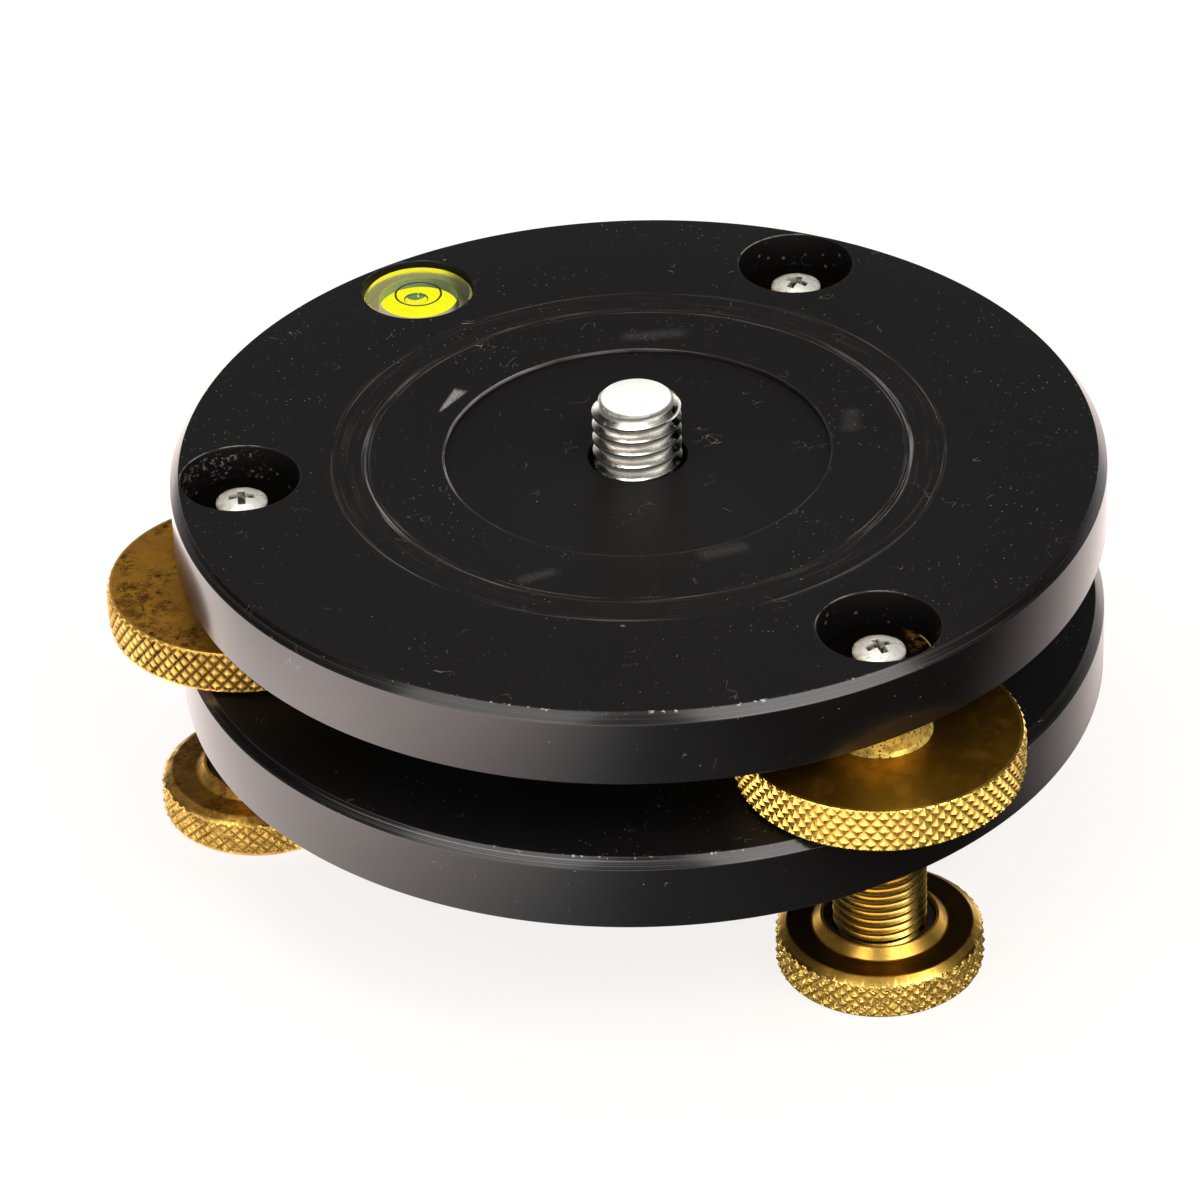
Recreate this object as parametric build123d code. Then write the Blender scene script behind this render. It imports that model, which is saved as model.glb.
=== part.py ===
from build123d import *
from math import cos, radians, sin
import os

# Tripod levelling head: two round plates joined by three levelling screws, with a
# lock wheel on the lower end of each screw, a camera stud and a bullseye level.
# Millimetres. Z points up. The origin is the mouth of the tripod thread, in the
# middle of the lower plate's underside. The head is drawn with all three screws
# wound down and the lock wheels backed off, standing on the lock wheels.

# Plates
plate_d = 100.0
upper_t = 8.3
lower_t = 8.3
plate_gap = 9.6
edge_chamfer = 1.0
edge_break = 0.15
recess_d = 41.2
recess_depth = 0.6

# The three corners, a third of a turn apart, in the order right, rear, left
corner_names = ("right", "rear", "left")
first_corner_angle = -60.0
corner_inset = 7.55
access_d = 12.7
mouth_chamfer = 0.25

# Levelling screws: M10 x 1 thread, plain neck, pilot above it
thread_d = 9.9
rise_travel = 4.5
neck_d = 10.4
pilot_d = 4.8
wheel_seat_d = 10.0
thread_below = 15.4
screw_end_chamfer = 0.7
running_clear = 0.05

# Thumbwheels between the plates
thumb_d = 30.5
thumb_t = 4.9
thumb_chamfer = 0.4
thumb_rest_gap = 0.45

# Ball seats: each stands on a neck and carries the upper plate
ball_r = 4.5
ball_below = 0.8
swing_margin = 0.1
seat_margin = 0.08

# Cushion washers, retaining caps and M3 pan head screws over the seats
washer_t = 0.4
washer_d = 9.8
cap_below_top = 3.5
cap_rim_h = 0.7
cap_floor_t = 0.6
cap_rim_w = 0.7
cap_dish_w = 1.4
m3_d = 3.0
m3_clear = 0.1
m3_head_d = 5.5
m3_head_h = 2.0
m3_head_side = 1.1
m3_length = 8.0
m3_tap_extra = 0.8
cross_span = 2.9
cross_w = 0.7
cross_depth = 1.3
cross_taper = 9.0

# Lock wheels on the lower ends of the screws
lock_d = 22.2
lock_drop = 10.0
lock_collar_h = 1.05
lock_collar_d = 14.2
lock_collar_top_d = 12.5
lock_mouth_d = 12.0
lock_mouth_depth = 2.4
lock_bevel_w = 1.15
lock_bevel_h = 0.75
lock_knurl_h = 3.4
lock_foot_bevel = 0.7
ring_t = 1.7
ring_side_clear = 0.1
ring_chamfer = 0.25

# Camera stud: 3/8 inch thread on a plain shank, with a countersunk head below
stud_d = 9.525
stud_above = 7.0
stud_shank_d = 8.6
stud_runout = 0.1
stud_tip_d = 7.6
stud_tip_h = 1.0
stud_hole_d = 10.7
stud_head_d = 18.0
stud_head_inset = 0.2
stud_hex_w = 6.0
stud_hex_depth = 3.6

# Tripod thread in the lower plate
tripod_chamfer = 0.5

# Bullseye level in the upper plate
vial_d = 12.1
vial_h = 6.0
vial_inset = 0.55
vial_pocket_d = 12.5
vial_edge = 0.3
vial_cell_d = 8.8
vial_lens_t = 1.0
vial_dome_rise = 0.25
vial_plug_t = 2.3
bubble_d = 2.8
bubble_h = 0.7
bubble_shift = 0.45

# Places and heights worked out from the sizes above
corner_r = plate_d / 2 - corner_inset
vial_angle = first_corner_angle + 180
upper_bottom = lower_t + plate_gap
upper_top = upper_bottom + upper_t
thumb_bottom = lower_t + thumb_rest_gap
thumb_top = thumb_bottom + thumb_t
ball_z = upper_bottom - ball_below
swing = rise_travel / (corner_r + corner_r / 2)
drift = rise_travel * swing
neck_top = upper_bottom - neck_d / 2 * swing - swing_margin
cap_top = upper_top - cap_below_top
cap_floor = cap_top - cap_rim_h
cap_bottom = cap_floor - cap_floor_t
washer_gap = washer_d / 2 * swing + swing_margin
washer_top = cap_bottom - washer_gap
washer_bottom = washer_top - washer_t
web_top = washer_bottom - washer_gap
cap_r = access_d / 2 - (cap_top - ball_z) * swing - drift - running_clear
washer_bore_r = pilot_d / 2 + (washer_top - ball_z) * swing + drift + swing_margin
socket_r = ball_r + drift + seat_margin
lock_top = -lock_drop
lock_flat = lock_top - lock_collar_h
lock_knurl_top = lock_flat - lock_bevel_h
lock_knurl_bottom = lock_knurl_top - lock_knurl_h
lock_bottom = lock_knurl_bottom - lock_foot_bevel
stud_head_z = upper_bottom + stud_head_inset
stud_thread_z = upper_top - recess_depth + stud_runout
vial_top = upper_top - vial_inset
vial_bottom = vial_top - vial_h
overrun = edge_chamfer


def turned(points):
    """Solid turned about Z from (radius, height) corners."""
    outline = Polyline(*points, close=True)
    return revolve(Plane.XZ * make_face(outline), Axis.Z)


def cylinder(diameter, bottom, top):
    """Upright cylinder on Z between two heights."""
    r = diameter / 2
    return turned([(0, bottom), (r, bottom), (r, top), (0, top)])


def countersunk(diameter, bottom, top, chamfer):
    """Hole body from bottom to top, opened by a chamfer at the top face."""
    r = diameter / 2
    wide = r + chamfer + overrun
    return turned([(0, bottom), (r, bottom), (r, top - chamfer), (wide, top + overrun), (0, top + overrun)])


def dome_radius(half_width, rise):
    """Radius of the sphere whose cap has this half width and rise."""
    return (half_width * half_width + rise * rise) / (2 * rise)


def disc(diameter, bottom, top):
    """Plate blank: its upper rim chamfered, its lower rim only broken."""
    r = diameter / 2
    return turned([
        (0, bottom),
        (r - edge_break, bottom),
        (r, bottom + edge_break),
        (r, top - edge_chamfer),
        (r - edge_chamfer, top),
        (0, top),
    ])


def corner_angle(index):
    """Angle of one corner from +X."""
    return first_corner_angle + index * 360 / len(corner_names)


def at_angle(solid, angle):
    """Moves a solid drawn on Z to its place on the corner circle."""
    a = radians(angle)
    return Pos(corner_r * cos(a), corner_r * sin(a), 0) * solid


def less_corners(plate, tool):
    """Takes the same hole out of a plate at the three corners."""
    for index in range(len(corner_names)):
        plate -= at_angle(tool, corner_angle(index))
    return plate


def ball_socket():
    """What one corner takes out of the upper plate: access hole and ball socket."""
    hole = countersunk(access_d, web_top, upper_top, mouth_chamfer)
    return hole + Pos(0, 0, ball_z) * Sphere(socket_r)


def upper_plate():
    """Plate that carries the camera stud and the level, hung on three ball sockets."""
    plate = disc(plate_d, upper_bottom, upper_top)
    plate -= cylinder(recess_d, upper_top - recess_depth, upper_top + overrun)
    plate -= stud_seat()
    plate -= at_angle(cylinder(vial_pocket_d, vial_bottom, upper_top + overrun), vial_angle)
    return less_corners(plate, ball_socket())


def lower_plate():
    """Plate with the tripod thread in its middle and a screw thread at each corner."""
    plate = disc(plate_d, 0, lower_t)
    plate -= cylinder(stud_d, -overrun, lower_t + overrun)
    mouth = stud_d / 2 + tripod_chamfer
    plate -= turned([(0, 0), (mouth, 0), (0, mouth)])
    plate -= turned([(0, lower_t), (mouth, lower_t), (0, lower_t - mouth)])
    return less_corners(plate, cylinder(thread_d + 2 * running_clear, -overrun, lower_t + overrun))


def levelling_screw():
    """Brass screw: thread below, seat for the thumbwheel, neck, and tapped pilot."""
    r_thread = thread_d / 2
    r_seat = wheel_seat_d / 2
    r_neck = neck_d / 2
    r_pilot = pilot_d / 2
    foot = -thread_below
    body = turned([
        (0, foot),
        (r_thread - screw_end_chamfer, foot),
        (r_thread, foot + screw_end_chamfer),
        (r_thread, thumb_bottom),
        (r_seat, thumb_bottom),
        (r_seat, thumb_top),
        (r_neck, thumb_top),
        (r_neck, neck_top),
        (r_pilot, neck_top),
        (r_pilot, cap_bottom),
        (0, cap_bottom),
    ])
    tap_end = cap_floor - m3_length - m3_tap_extra
    return body - cylinder(m3_d, tap_end, cap_bottom + overrun)


def thumbwheel():
    """Brass wheel pressed on the screw below the neck; its rim is the knurled band."""
    r = thumb_d / 2
    rim = r - thumb_chamfer
    bore = wheel_seat_d / 2
    return turned([
        (bore, thumb_bottom),
        (rim, thumb_bottom),
        (r, thumb_bottom + thumb_chamfer),
        (r, thumb_top - thumb_chamfer),
        (rim, thumb_top),
        (bore, thumb_top),
    ])


def ball_seat():
    """Domed bush that stands on the neck, turned on the pilot."""
    dome_top = web_top - swing_margin
    dome = Pos(0, 0, ball_z) * Sphere(ball_r)
    band = cylinder(2 * socket_r, neck_top, dome_top)
    bore = cylinder(pilot_d + 2 * running_clear, neck_top - overrun, dome_top + overrun)
    return (dome & band) - bore


def cushion_washer():
    """Thin washer that stops the plate rattling between its web and the cap."""
    r = washer_d / 2
    return turned([
        (washer_bore_r, washer_bottom),
        (r, washer_bottom),
        (r, washer_top),
        (washer_bore_r, washer_top),
    ])


def retaining_cap():
    """Dished brass cap clamped on the pilot by the M3 screw."""
    rim = cap_r - cap_rim_w
    dish = rim - cap_dish_w
    bore = m3_d / 2 + m3_clear
    return turned([
        (bore, cap_bottom),
        (cap_r, cap_bottom),
        (cap_r, cap_top),
        (rim, cap_top),
        (dish, cap_floor),
        (bore, cap_floor),
    ])


def retaining_screw():
    """M3 pan head screw with a cross recess."""
    crown = cap_floor + m3_head_h
    round_r = dome_radius(m3_head_d / 2, m3_head_h - m3_head_side)
    head = cylinder(m3_head_d, cap_floor, crown)
    head &= Pos(0, 0, crown - round_r) * Sphere(round_r)
    cross = Rectangle(cross_span, cross_w) + Rectangle(cross_w, cross_span)
    head -= extrude(Pos(0, 0, crown) * cross, -cross_depth, taper=cross_taper)
    return head + cylinder(m3_d, cap_floor - m3_length, cap_floor)


def lock_wheel():
    """Brass wheel with a coned collar, a bevel, a knurled band and a small foot bevel."""
    r = lock_d / 2
    bore = thread_d / 2 + running_clear
    mouth = lock_mouth_d / 2
    return turned([
        (bore, lock_bottom),
        (r - lock_foot_bevel, lock_bottom),
        (r, lock_knurl_bottom),
        (r, lock_knurl_top),
        (r - lock_bevel_w, lock_flat),
        (lock_collar_d / 2, lock_flat),
        (lock_collar_top_d / 2, lock_top),
        (mouth, lock_top),
        (mouth, lock_top - lock_mouth_depth),
        (bore, lock_top - lock_mouth_depth),
    ])


def lock_ring():
    """Black friction ring in the mouth of the lock wheel's collar."""
    inner = thread_d / 2 + running_clear
    outer = lock_mouth_d / 2 - ring_side_clear
    bottom = lock_top - lock_mouth_depth
    top = bottom + ring_t
    return turned([
        (inner, bottom),
        (outer, bottom),
        (outer, top - ring_chamfer),
        (outer - ring_chamfer, top),
        (inner, top),
    ])


def stud_seat():
    """Clearance hole and countersink that the camera stud sits in."""
    r_hole = stud_hole_d / 2
    r_head = stud_head_d / 2
    meet = stud_head_z + r_head - r_hole
    return turned([
        (0, upper_bottom - overrun),
        (r_head, upper_bottom - overrun),
        (r_head, stud_head_z),
        (r_hole, meet),
        (r_hole, upper_top + overrun),
        (0, upper_top + overrun),
    ])


def camera_stud():
    """Camera stud: a countersunk screw from below with a hexagon socket."""
    r = stud_d / 2
    r_head = stud_head_d / 2
    r_shank = stud_shank_d / 2
    top = upper_top + stud_above
    body = turned([
        (0, stud_head_z),
        (r_head, stud_head_z),
        (r_shank, stud_head_z + r_head - r_shank),
        (r_shank, stud_thread_z),
        (r, stud_thread_z),
        (r, top - stud_tip_h),
        (stud_tip_d / 2, top),
        (0, top),
    ])
    hexagon = RegularPolygon(stud_hex_w / 2, 6, major_radius=False)
    return body - extrude(Pos(0, 0, stud_head_z) * hexagon, stud_hex_depth)


def vial_cell(grow=0):
    """Inside of the level: a short cylinder under a shallow dome."""
    r = vial_cell_d / 2
    edge = vial_top - vial_lens_t - vial_dome_rise
    crown = vial_top - vial_lens_t
    dome_r = dome_radius(r, vial_dome_rise)
    ball = Pos(0, 0, crown - dome_r) * Sphere(dome_r)
    tube = cylinder(vial_cell_d, vial_bottom - grow, crown)
    cap = cylinder(vial_cell_d, edge, crown) & ball
    return (tube & cylinder(vial_cell_d, vial_bottom - grow, edge)) + cap


def vial_body():
    """Clear cup of the level, drawn over its own axis."""
    r = vial_d / 2
    shell = turned([
        (0, vial_bottom),
        (r, vial_bottom),
        (r, vial_top - vial_edge),
        (r - vial_edge, vial_top),
        (0, vial_top),
    ])
    return shell - vial_cell(overrun)


def vial_plug():
    """White disc that closes the level's cell from below."""
    return cylinder(vial_cell_d, vial_bottom, vial_bottom + vial_plug_t)


def vial_liquid():
    """Tinted liquid, hollowed at the top where the bubble lies."""
    cell = vial_cell() & cylinder(vial_cell_d, vial_bottom + vial_plug_t, vial_top)
    lens_r = dome_radius(bubble_d / 2, bubble_h)
    crown = vial_top - vial_lens_t
    bubble = Pos(0, -bubble_shift, crown - bubble_h + lens_r) * Sphere(lens_r)
    return cell - bubble


def corner_pieces(name):
    """The eight pieces of one corner, drawn on Z."""
    return {
        "levelling_screw_" + name: levelling_screw(),
        "thumbwheel_" + name: thumbwheel(),
        "ball_seat_" + name: ball_seat(),
        "cushion_washer_" + name: cushion_washer(),
        "retaining_cap_" + name: retaining_cap(),
        "retaining_screw_" + name: retaining_screw(),
        "lock_wheel_" + name: lock_wheel(),
        "lock_ring_" + name: lock_ring(),
    }


def all_pieces():
    """Every piece of the head, in place, by name."""
    pieces = {
        "upper_plate": upper_plate(),
        "lower_plate": lower_plate(),
        "camera_stud": camera_stud(),
    }
    level = {"vial_body": vial_body(), "vial_plug": vial_plug(), "vial_liquid": vial_liquid()}
    for piece, solid in level.items():
        pieces[piece] = at_angle(solid, vial_angle)
    for index, name in enumerate(corner_names):
        for piece, solid in corner_pieces(name).items():
            pieces[piece] = at_angle(solid, corner_angle(index))
    return pieces


os.makedirs("parts", exist_ok=True)
for node, shape in all_pieces().items():
    shape.label = node
    export_step(shape, "parts/" + node + ".step")
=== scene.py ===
from math import cos, pi, radians, sin

import bmesh
import bpy
import numpy as np
from mathutils import Matrix, Vector


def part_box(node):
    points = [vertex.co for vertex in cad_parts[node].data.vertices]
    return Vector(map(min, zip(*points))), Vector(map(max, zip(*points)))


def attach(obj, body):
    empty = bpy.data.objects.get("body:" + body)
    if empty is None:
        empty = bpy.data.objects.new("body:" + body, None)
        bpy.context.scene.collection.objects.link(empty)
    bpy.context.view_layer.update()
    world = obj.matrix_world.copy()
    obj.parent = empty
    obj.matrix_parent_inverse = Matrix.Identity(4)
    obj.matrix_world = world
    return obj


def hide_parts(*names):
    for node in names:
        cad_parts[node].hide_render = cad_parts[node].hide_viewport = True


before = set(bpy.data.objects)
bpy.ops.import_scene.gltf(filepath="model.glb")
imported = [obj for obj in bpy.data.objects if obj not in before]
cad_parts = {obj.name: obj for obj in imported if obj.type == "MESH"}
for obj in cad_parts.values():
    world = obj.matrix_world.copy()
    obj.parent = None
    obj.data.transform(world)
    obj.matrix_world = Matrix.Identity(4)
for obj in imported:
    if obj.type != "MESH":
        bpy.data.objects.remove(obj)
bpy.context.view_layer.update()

bl_info = {
    "name": "Tripod Levelling Head",
    "version": (1, 0, 0),
    "blender": (4, 5, 0),
    "location": "View3D > Sidebar > Levelling Head",
    "description": "Dresses a packed levelling head: plates, knurled brass wheels, threads and a level",
    "category": "Add Mesh",
}

MM = 0.001
CORNERS = ("right", "rear", "left")


def middle(node):
    """Middle of a CAD node's box, in metres."""
    low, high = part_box(node)
    return (low + high) / 2


def span(node):
    """Lowest and highest z of a CAD node, in metres."""
    low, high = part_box(node)
    return low.z, high.z


def widest(node):
    """Radius of a round CAD node, in metres."""
    low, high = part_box(node)
    return (high.x - low.x) / 2


UPPER_BOTTOM, UPPER_TOP = span("upper_plate")
LOWER_BOTTOM, LOWER_TOP = span("lower_plate")
PLATE_R = widest("upper_plate")
CENTRE = {name: middle("thumbwheel_" + name) * Vector((1, 1, 0)) for name in CORNERS}

# Bores on the levelling screws, and the countersunk head of the camera stud
BORE_R = 5 * MM
STUD_HEAD_R = 9 * MM
# Radius at which a face that ends in a point is closed, and the same for small ends
TIP_R = 0.3 * MM
PIN_R = 0.1 * MM
# How far a cutter reaches past the face that it cuts
OVER = 1 * MM
# Flare of the holes' mouths, and chamfer of the tripod thread's
FLARE = 0.12 * MM
MOUTH = 0.5 * MM
# The level's lens: depth of its crown below the top face, and its rise
LENS_DEPTH = 1.0 * MM
LENS_RISE = 0.25 * MM
# Distance within which points of a thread are made one
WELD = 2e-7
# Height of every bump at full strength
BUMP_HEIGHT = 0.02 * MM
# Steps in which an edge is rounded, and cells across one knurl
ROUND_STEPS = 4
KNURL_STEPS = 12
# Columns round small pieces, round wheels and rods, and round the plates
SMALL_ROUND = 96
MEDIUM_ROUND = 128
PLATE_ROUND = 480


# Sizes and colours that a user would change

def length(label, description, millimetres):
    """Length property with its default in millimetres."""
    return bpy.props.FloatProperty(
        name=label, description=description, default=millimetres * MM, min=0, unit="LENGTH", precision=5
    )


def share(label, description, value):
    """Share property from nought to one."""
    return bpy.props.FloatProperty(
        name=label, description=description, default=value, min=0, max=1, subtype="FACTOR"
    )


def colour(label, description, value):
    """Colour property in linear light."""
    return bpy.props.FloatVectorProperty(
        name=label, description=description, default=value, min=0, max=1, size=3, subtype="COLOR"
    )


class HeadSizes(bpy.types.PropertyGroup):
    """Sizes of what the dressing adds to the plain solids."""

    edge_round: length("Edge round", "Softening of every turned edge", 0.06)
    edge_chamfer: length("Plate chamfer", "Chamfer on the upper rims of both plates", 1.0)
    edge_break: length("Plate edge break", "Broken edge on the lower rims of both plates", 0.15)
    recess_r: length("Recess radius", "Radius of the shallow recess round the stud", 20.6)
    recess_depth: length("Recess depth", "Depth of the shallow recess", 0.6)
    access_r: length("Access radius", "Radius of the three access holes", 6.35)
    web_below: length("Web below washer", "Room between a washer and the web under it", 0.446)
    ball_below: length("Ball below plate", "Depth of the ball centres below the upper plate", 0.8)
    socket_r: length("Socket radius", "Radius of the ball sockets", 4.9)
    pocket_r: length("Pocket radius", "Radius of the pocket for the level", 6.25)
    stud_r: length("Stud radius", "Major radius of the camera thread", 4.7625)
    stud_pitch: length("Stud pitch", "Pitch of the camera thread", 1.5875)
    stud_depth: length("Stud thread depth", "Depth of the camera thread", 0.9)
    stud_hole_r: length("Stud hole radius", "Radius of the hole round the stud", 5.35)
    stud_shank_r: length("Stud shank radius", "Radius of the plain shank below the thread", 4.3)
    screw_r: length("Screw radius", "Major radius of the levelling screws", 4.95)
    screw_pitch: length("Screw pitch", "Pitch of the levelling screws", 1.0)
    screw_depth: length("Screw thread depth", "Depth of the levelling screws' thread", 0.5)
    neck_r: length("Neck radius", "Radius of the neck above the thumbwheel", 5.2)
    pilot_r: length("Pilot radius", "Radius of the pilot in the ball seat", 2.4)
    knurl_width: length("Knurl width", "Distance between knurls round the rim", 1.4)
    knurl_height: length("Knurl height", "Height of one knurl diamond", 1.5)
    knurl_depth: length("Knurl depth", "Depth of the knurl's grooves", 0.4)
    thumb_chamfer: length("Thumbwheel chamfer", "Chamfer on the thumbwheels' rims", 0.4)


class HeadFinish(bpy.types.PropertyGroup):
    """Colours and amounts of wear."""

    anodised: colour("Anodised black", "Colour of the plates", (0.0046, 0.0041, 0.0042))
    # Bare also paints the highlights on the holes' back edges and on the recess's lit edge.
    bare: colour("Bare metal", "Where the black has worn through", (0.55, 0.53, 0.50))
    brass: colour("Brass", "Clean brass", (0.98, 0.645, 0.155))
    lacquer: colour("Lacquer", "Amber film on the flat faces of the brass", (0.60, 0.29, 0.018))
    tarnish: colour("Tarnish", "Brown skin on old brass", (0.27, 0.122, 0.022))
    mottle: colour("Mottle", "Brown between the dark dots of tarnished brass", (0.110, 0.042, 0.008))
    neck: colour("Neck", "Yellow of the screws' necks", (0.98, 0.74, 0.16))
    # Spots also paints shade in the grooves of the brass and the dark painted reflection on the wheels'
    # faces.
    spots: colour("Spots", "Dark dots and dirt in the grooves of the brass", (0.030, 0.014, 0.004))
    zinc: colour("Zinc", "Plated steel", (0.90, 0.87, 0.79))
    # The stud's end colour is a painted white highlight.
    painted_end_highlight: colour("Sawn end", "Whitish end of the camera stud", (0.98, 0.97, 0.94))
    yellowed: colour("Yellowed", "Yellow of old zinc on the retaining screws", (0.50, 0.33, 0.09))
    # Soil is dirt and also painted shade in the screws' crosses.
    soil_and_shade: colour("Soil", "Dirt on the retaining screws", (0.045, 0.030, 0.014))
    # Grime is also painted shade: it blacks out the caps in the deep holes and darkens the stud's thread
    # roots.
    grime_and_shade: colour("Grime", "Dirt in corners and recesses", (0.0022, 0.0018, 0.0014))
    crumbs: colour("Crumbs", "Dry dirt on the walls of the access holes", (0.26, 0.23, 0.19))
    liquid: colour("Liquid", "Tint of the level's liquid", (0.93, 0.98, 0.25))
    plug: colour("Plug", "Yellow of the level's plug", (0.93, 0.88, 0.010))
    edge_light: colour("Edge light", "Pale light in the level's clear wall", (0.36, 0.34, 0.16))
    # Scuffs also sets how strongly the painted edge highlights show.
    scuffs: share("Scuffs", "How strongly scratches and dust show on the black", 0.6)
    tarnish_right: share("Tarnish, right", "Share of brown on the right corner's brass", 0.25)
    tarnish_rear: share("Tarnish, rear", "Share of brown on the rear corner's brass", 0.45)
    tarnish_left: share("Tarnish, left", "Share of brown on the left corner's brass", 0.7)


# Meshes: rings and grids worked out as whole arrays

def rounded(points, radius):
    """Profile with every corner rounded.

    Each corner becomes a quadratic curve that starts and ends the rounding distance from
    it, or 0.4 of the shorter side away where that is less. The ends stay as they are.
    """
    p = np.asarray(points, float)
    before, at, after = p[:-2], p[1:-1], p[2:]
    back, ahead = before - at, after - at
    back_len = np.linalg.norm(back, axis=1, keepdims=True)
    ahead_len = np.linalg.norm(ahead, axis=1, keepdims=True)
    reach = np.minimum(radius, 0.4 * np.minimum(back_len, ahead_len))
    start = at + back / back_len * reach
    end = at + ahead / ahead_len * reach
    t = np.linspace(0, 1, ROUND_STEPS + 1)[None, :, None]
    curve = start[:, None] * (1 - t) ** 2 + 2 * at[:, None] * t * (1 - t) + end[:, None] * t ** 2
    return np.vstack([p[:1], curve.reshape(-1, 2), p[-1:]])


def rounded_loop(points, radius):
    """The same rounding on a closed profile."""
    return rounded([points[-1], *points, points[0]], radius)[1:-1]


def full_turn(columns):
    """Angles of evenly spaced columns, once round."""
    return np.arange(columns) * 2 * pi / columns


def rings(radius, height, angle, centre=(0, 0)):
    """Rings about an upright axis: point (i, j) is radius[i, j] from the axis, angle[j]
    round it and height[i, j] high."""
    radius, height, angle = np.broadcast_arrays(radius, height, angle)
    return np.stack([centre[0] + radius * np.cos(angle), centre[1] + radius * np.sin(angle), height], -1)


def to_mesh(name, points, face_sets):
    """Mesh from an array of points and arrays of three- or four-cornered faces."""
    mesh = bpy.data.meshes.new(name)
    corners = np.concatenate([faces.ravel() for faces in face_sets]).astype(np.int32)
    sizes = np.concatenate([np.full(len(faces), faces.shape[1]) for faces in face_sets])
    starts = np.concatenate([[0], np.cumsum(sizes)[:-1]]).astype(np.int32)
    mesh.vertices.add(len(points))
    mesh.vertices.foreach_set("co", np.ascontiguousarray(points, np.float32).ravel())
    mesh.loops.add(len(corners))
    mesh.loops.foreach_set("vertex_index", corners)
    mesh.polygons.add(len(sizes))
    mesh.polygons.foreach_set("loop_start", starts)
    mesh.update(calc_edges=True)
    mesh.validate()
    return mesh


def cells(rows, columns, closed, joined):
    """Corners of every cell of a grid: (i, j), (i, j + 1), (i + 1, j + 1), (i + 1, j).
    closed joins the last row to the first, and joined the last column to the first."""
    i = np.arange(rows if closed else rows - 1)[:, None]
    j = np.arange(columns if joined else columns - 1)[None, :]
    up, across = (i + 1) % rows, (j + 1) % columns
    corners = ((i, j), (i, across), (up, across), (up, j))
    return [(row * columns + column).ravel() for row, column in corners]


def skin(name, grid, closed=False, slant=None, joined=True):
    """Skin over rings. A closed skin joins the last ring to the first. An open one gets
    a fan to a point in the middle of each end ring. slant, an array with a value for
    each cell, splits the cells marked 1 along one diagonal and those marked 0 along the
    other; without it, cells stay four-cornered. joined is False where the last point of
    a ring lies on the ring's first, or a thread's pitch above it."""
    rows, columns, _ = grid.shape
    a, b, c, d = cells(rows, columns, closed, joined)
    points = grid.reshape(-1, 3)
    if slant is None:
        face_sets = [np.stack([a, b, c, d], 1)]
    else:
        lean = slant.ravel().astype(bool)[:, None]
        first = np.where(lean, np.stack([a, b, c], 1), np.stack([a, b, d], 1))
        second = np.where(lean, np.stack([a, c, d], 1), np.stack([b, c, d], 1))
        face_sets = [np.vstack([first, second])]
    if not closed:
        ring = np.arange(columns if joined else columns - 1)
        after = (ring + 1) % columns
        last = (rows - 1) * columns
        foot, head = np.full(len(ring), len(points)), np.full(len(ring), len(points) + 1)
        points = np.vstack([points, grid[:1, ring].mean(1), grid[-1:, ring].mean(1)])
        face_sets.append(np.stack([after, ring, foot], 1))
        face_sets.append(np.stack([last + ring, last + after, head], 1))
    return to_mesh(name, points, face_sets)


def turned(name, profile, centre=(0, 0), columns=160, closed=False):
    """Profile of (radius, height) rows turned about an upright axis. It runs from the
    foot outwards and up, so the skin faces outwards."""
    profile = np.asarray(profile, float)
    return skin(name, rings(profile[:, :1], profile[:, 1:], full_turn(columns), centre), closed)


def less(mesh, cutters):
    """The mesh with each cutter taken out of it."""
    name = mesh.name
    link = bpy.context.scene.collection.objects.link
    blank = bpy.data.objects.new(name + "_blank", mesh)
    link(blank)
    tools = [bpy.data.objects.new(name + "_cutter", cutter) for cutter in cutters]
    for tool in tools:
        link(tool)
        cut = blank.modifiers.new("cut", "BOOLEAN")
        cut.operation = "DIFFERENCE"
        cut.solver = "EXACT"
        cut.object = tool
    bpy.context.view_layer.update()
    graph = bpy.context.evaluated_depsgraph_get()
    result = bpy.data.meshes.new_from_object(blank.evaluated_get(graph))
    result.name = name
    for item in [blank] + tools:
        bpy.data.objects.remove(item)
    return result


def welded(mesh):
    """The mesh with points that coincide made one, and faces with no area gone."""
    work = bmesh.new()
    work.from_mesh(mesh)
    bmesh.ops.remove_doubles(work, verts=work.verts, dist=WELD)
    bmesh.ops.dissolve_degenerate(work, edges=work.edges, dist=WELD)
    work.to_mesh(mesh)
    work.free()
    return mesh


# One turn of a thread: share of the pitch, and share of the depth above the root
THREAD_FORM = np.array([
    (0.00, 0.00), (0.10, 0.00), (0.15, 0.08), (0.39, 0.90), (0.43, 1.00),
    (0.57, 1.00), (0.61, 0.90), (0.85, 0.08), (0.90, 0.00),
])


def thread_rows(bottom, top, pitch, crest, depth, columns, limit=None):
    """Radius and height arrays of a right-hand thread between two heights, and the
    angles of its columns.

    Each row keeps its place on the thread's form and climbs one pitch in a turn, so
    crests and roots run along rows. Heights are clipped to the ends and the radius is
    that of the form there, held inside limit(height), the outline of the chamfers.
    """
    turns = int(np.ceil((top - bottom) / pitch)) + 2
    phase = (np.arange(turns)[:, None] + THREAD_FORM[None, :, 0]).ravel()
    share_round = np.linspace(0, 1, columns + 1)
    z = bottom - pitch + pitch * (phase[:, None] + share_round[None, :])
    clipped = np.clip(z, bottom, top)
    place = np.mod((clipped - bottom) / pitch - share_round[None, :], 1)
    marks = np.append(THREAD_FORM[:, 0], 1)
    heights = np.append(THREAD_FORM[:, 1], THREAD_FORM[0, 1])
    radius = crest - depth * (1 - np.interp(place, marks, heights))
    if limit:
        radius = np.minimum(radius, limit(clipped))
    return radius, clipped, 2 * pi * share_round


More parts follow.
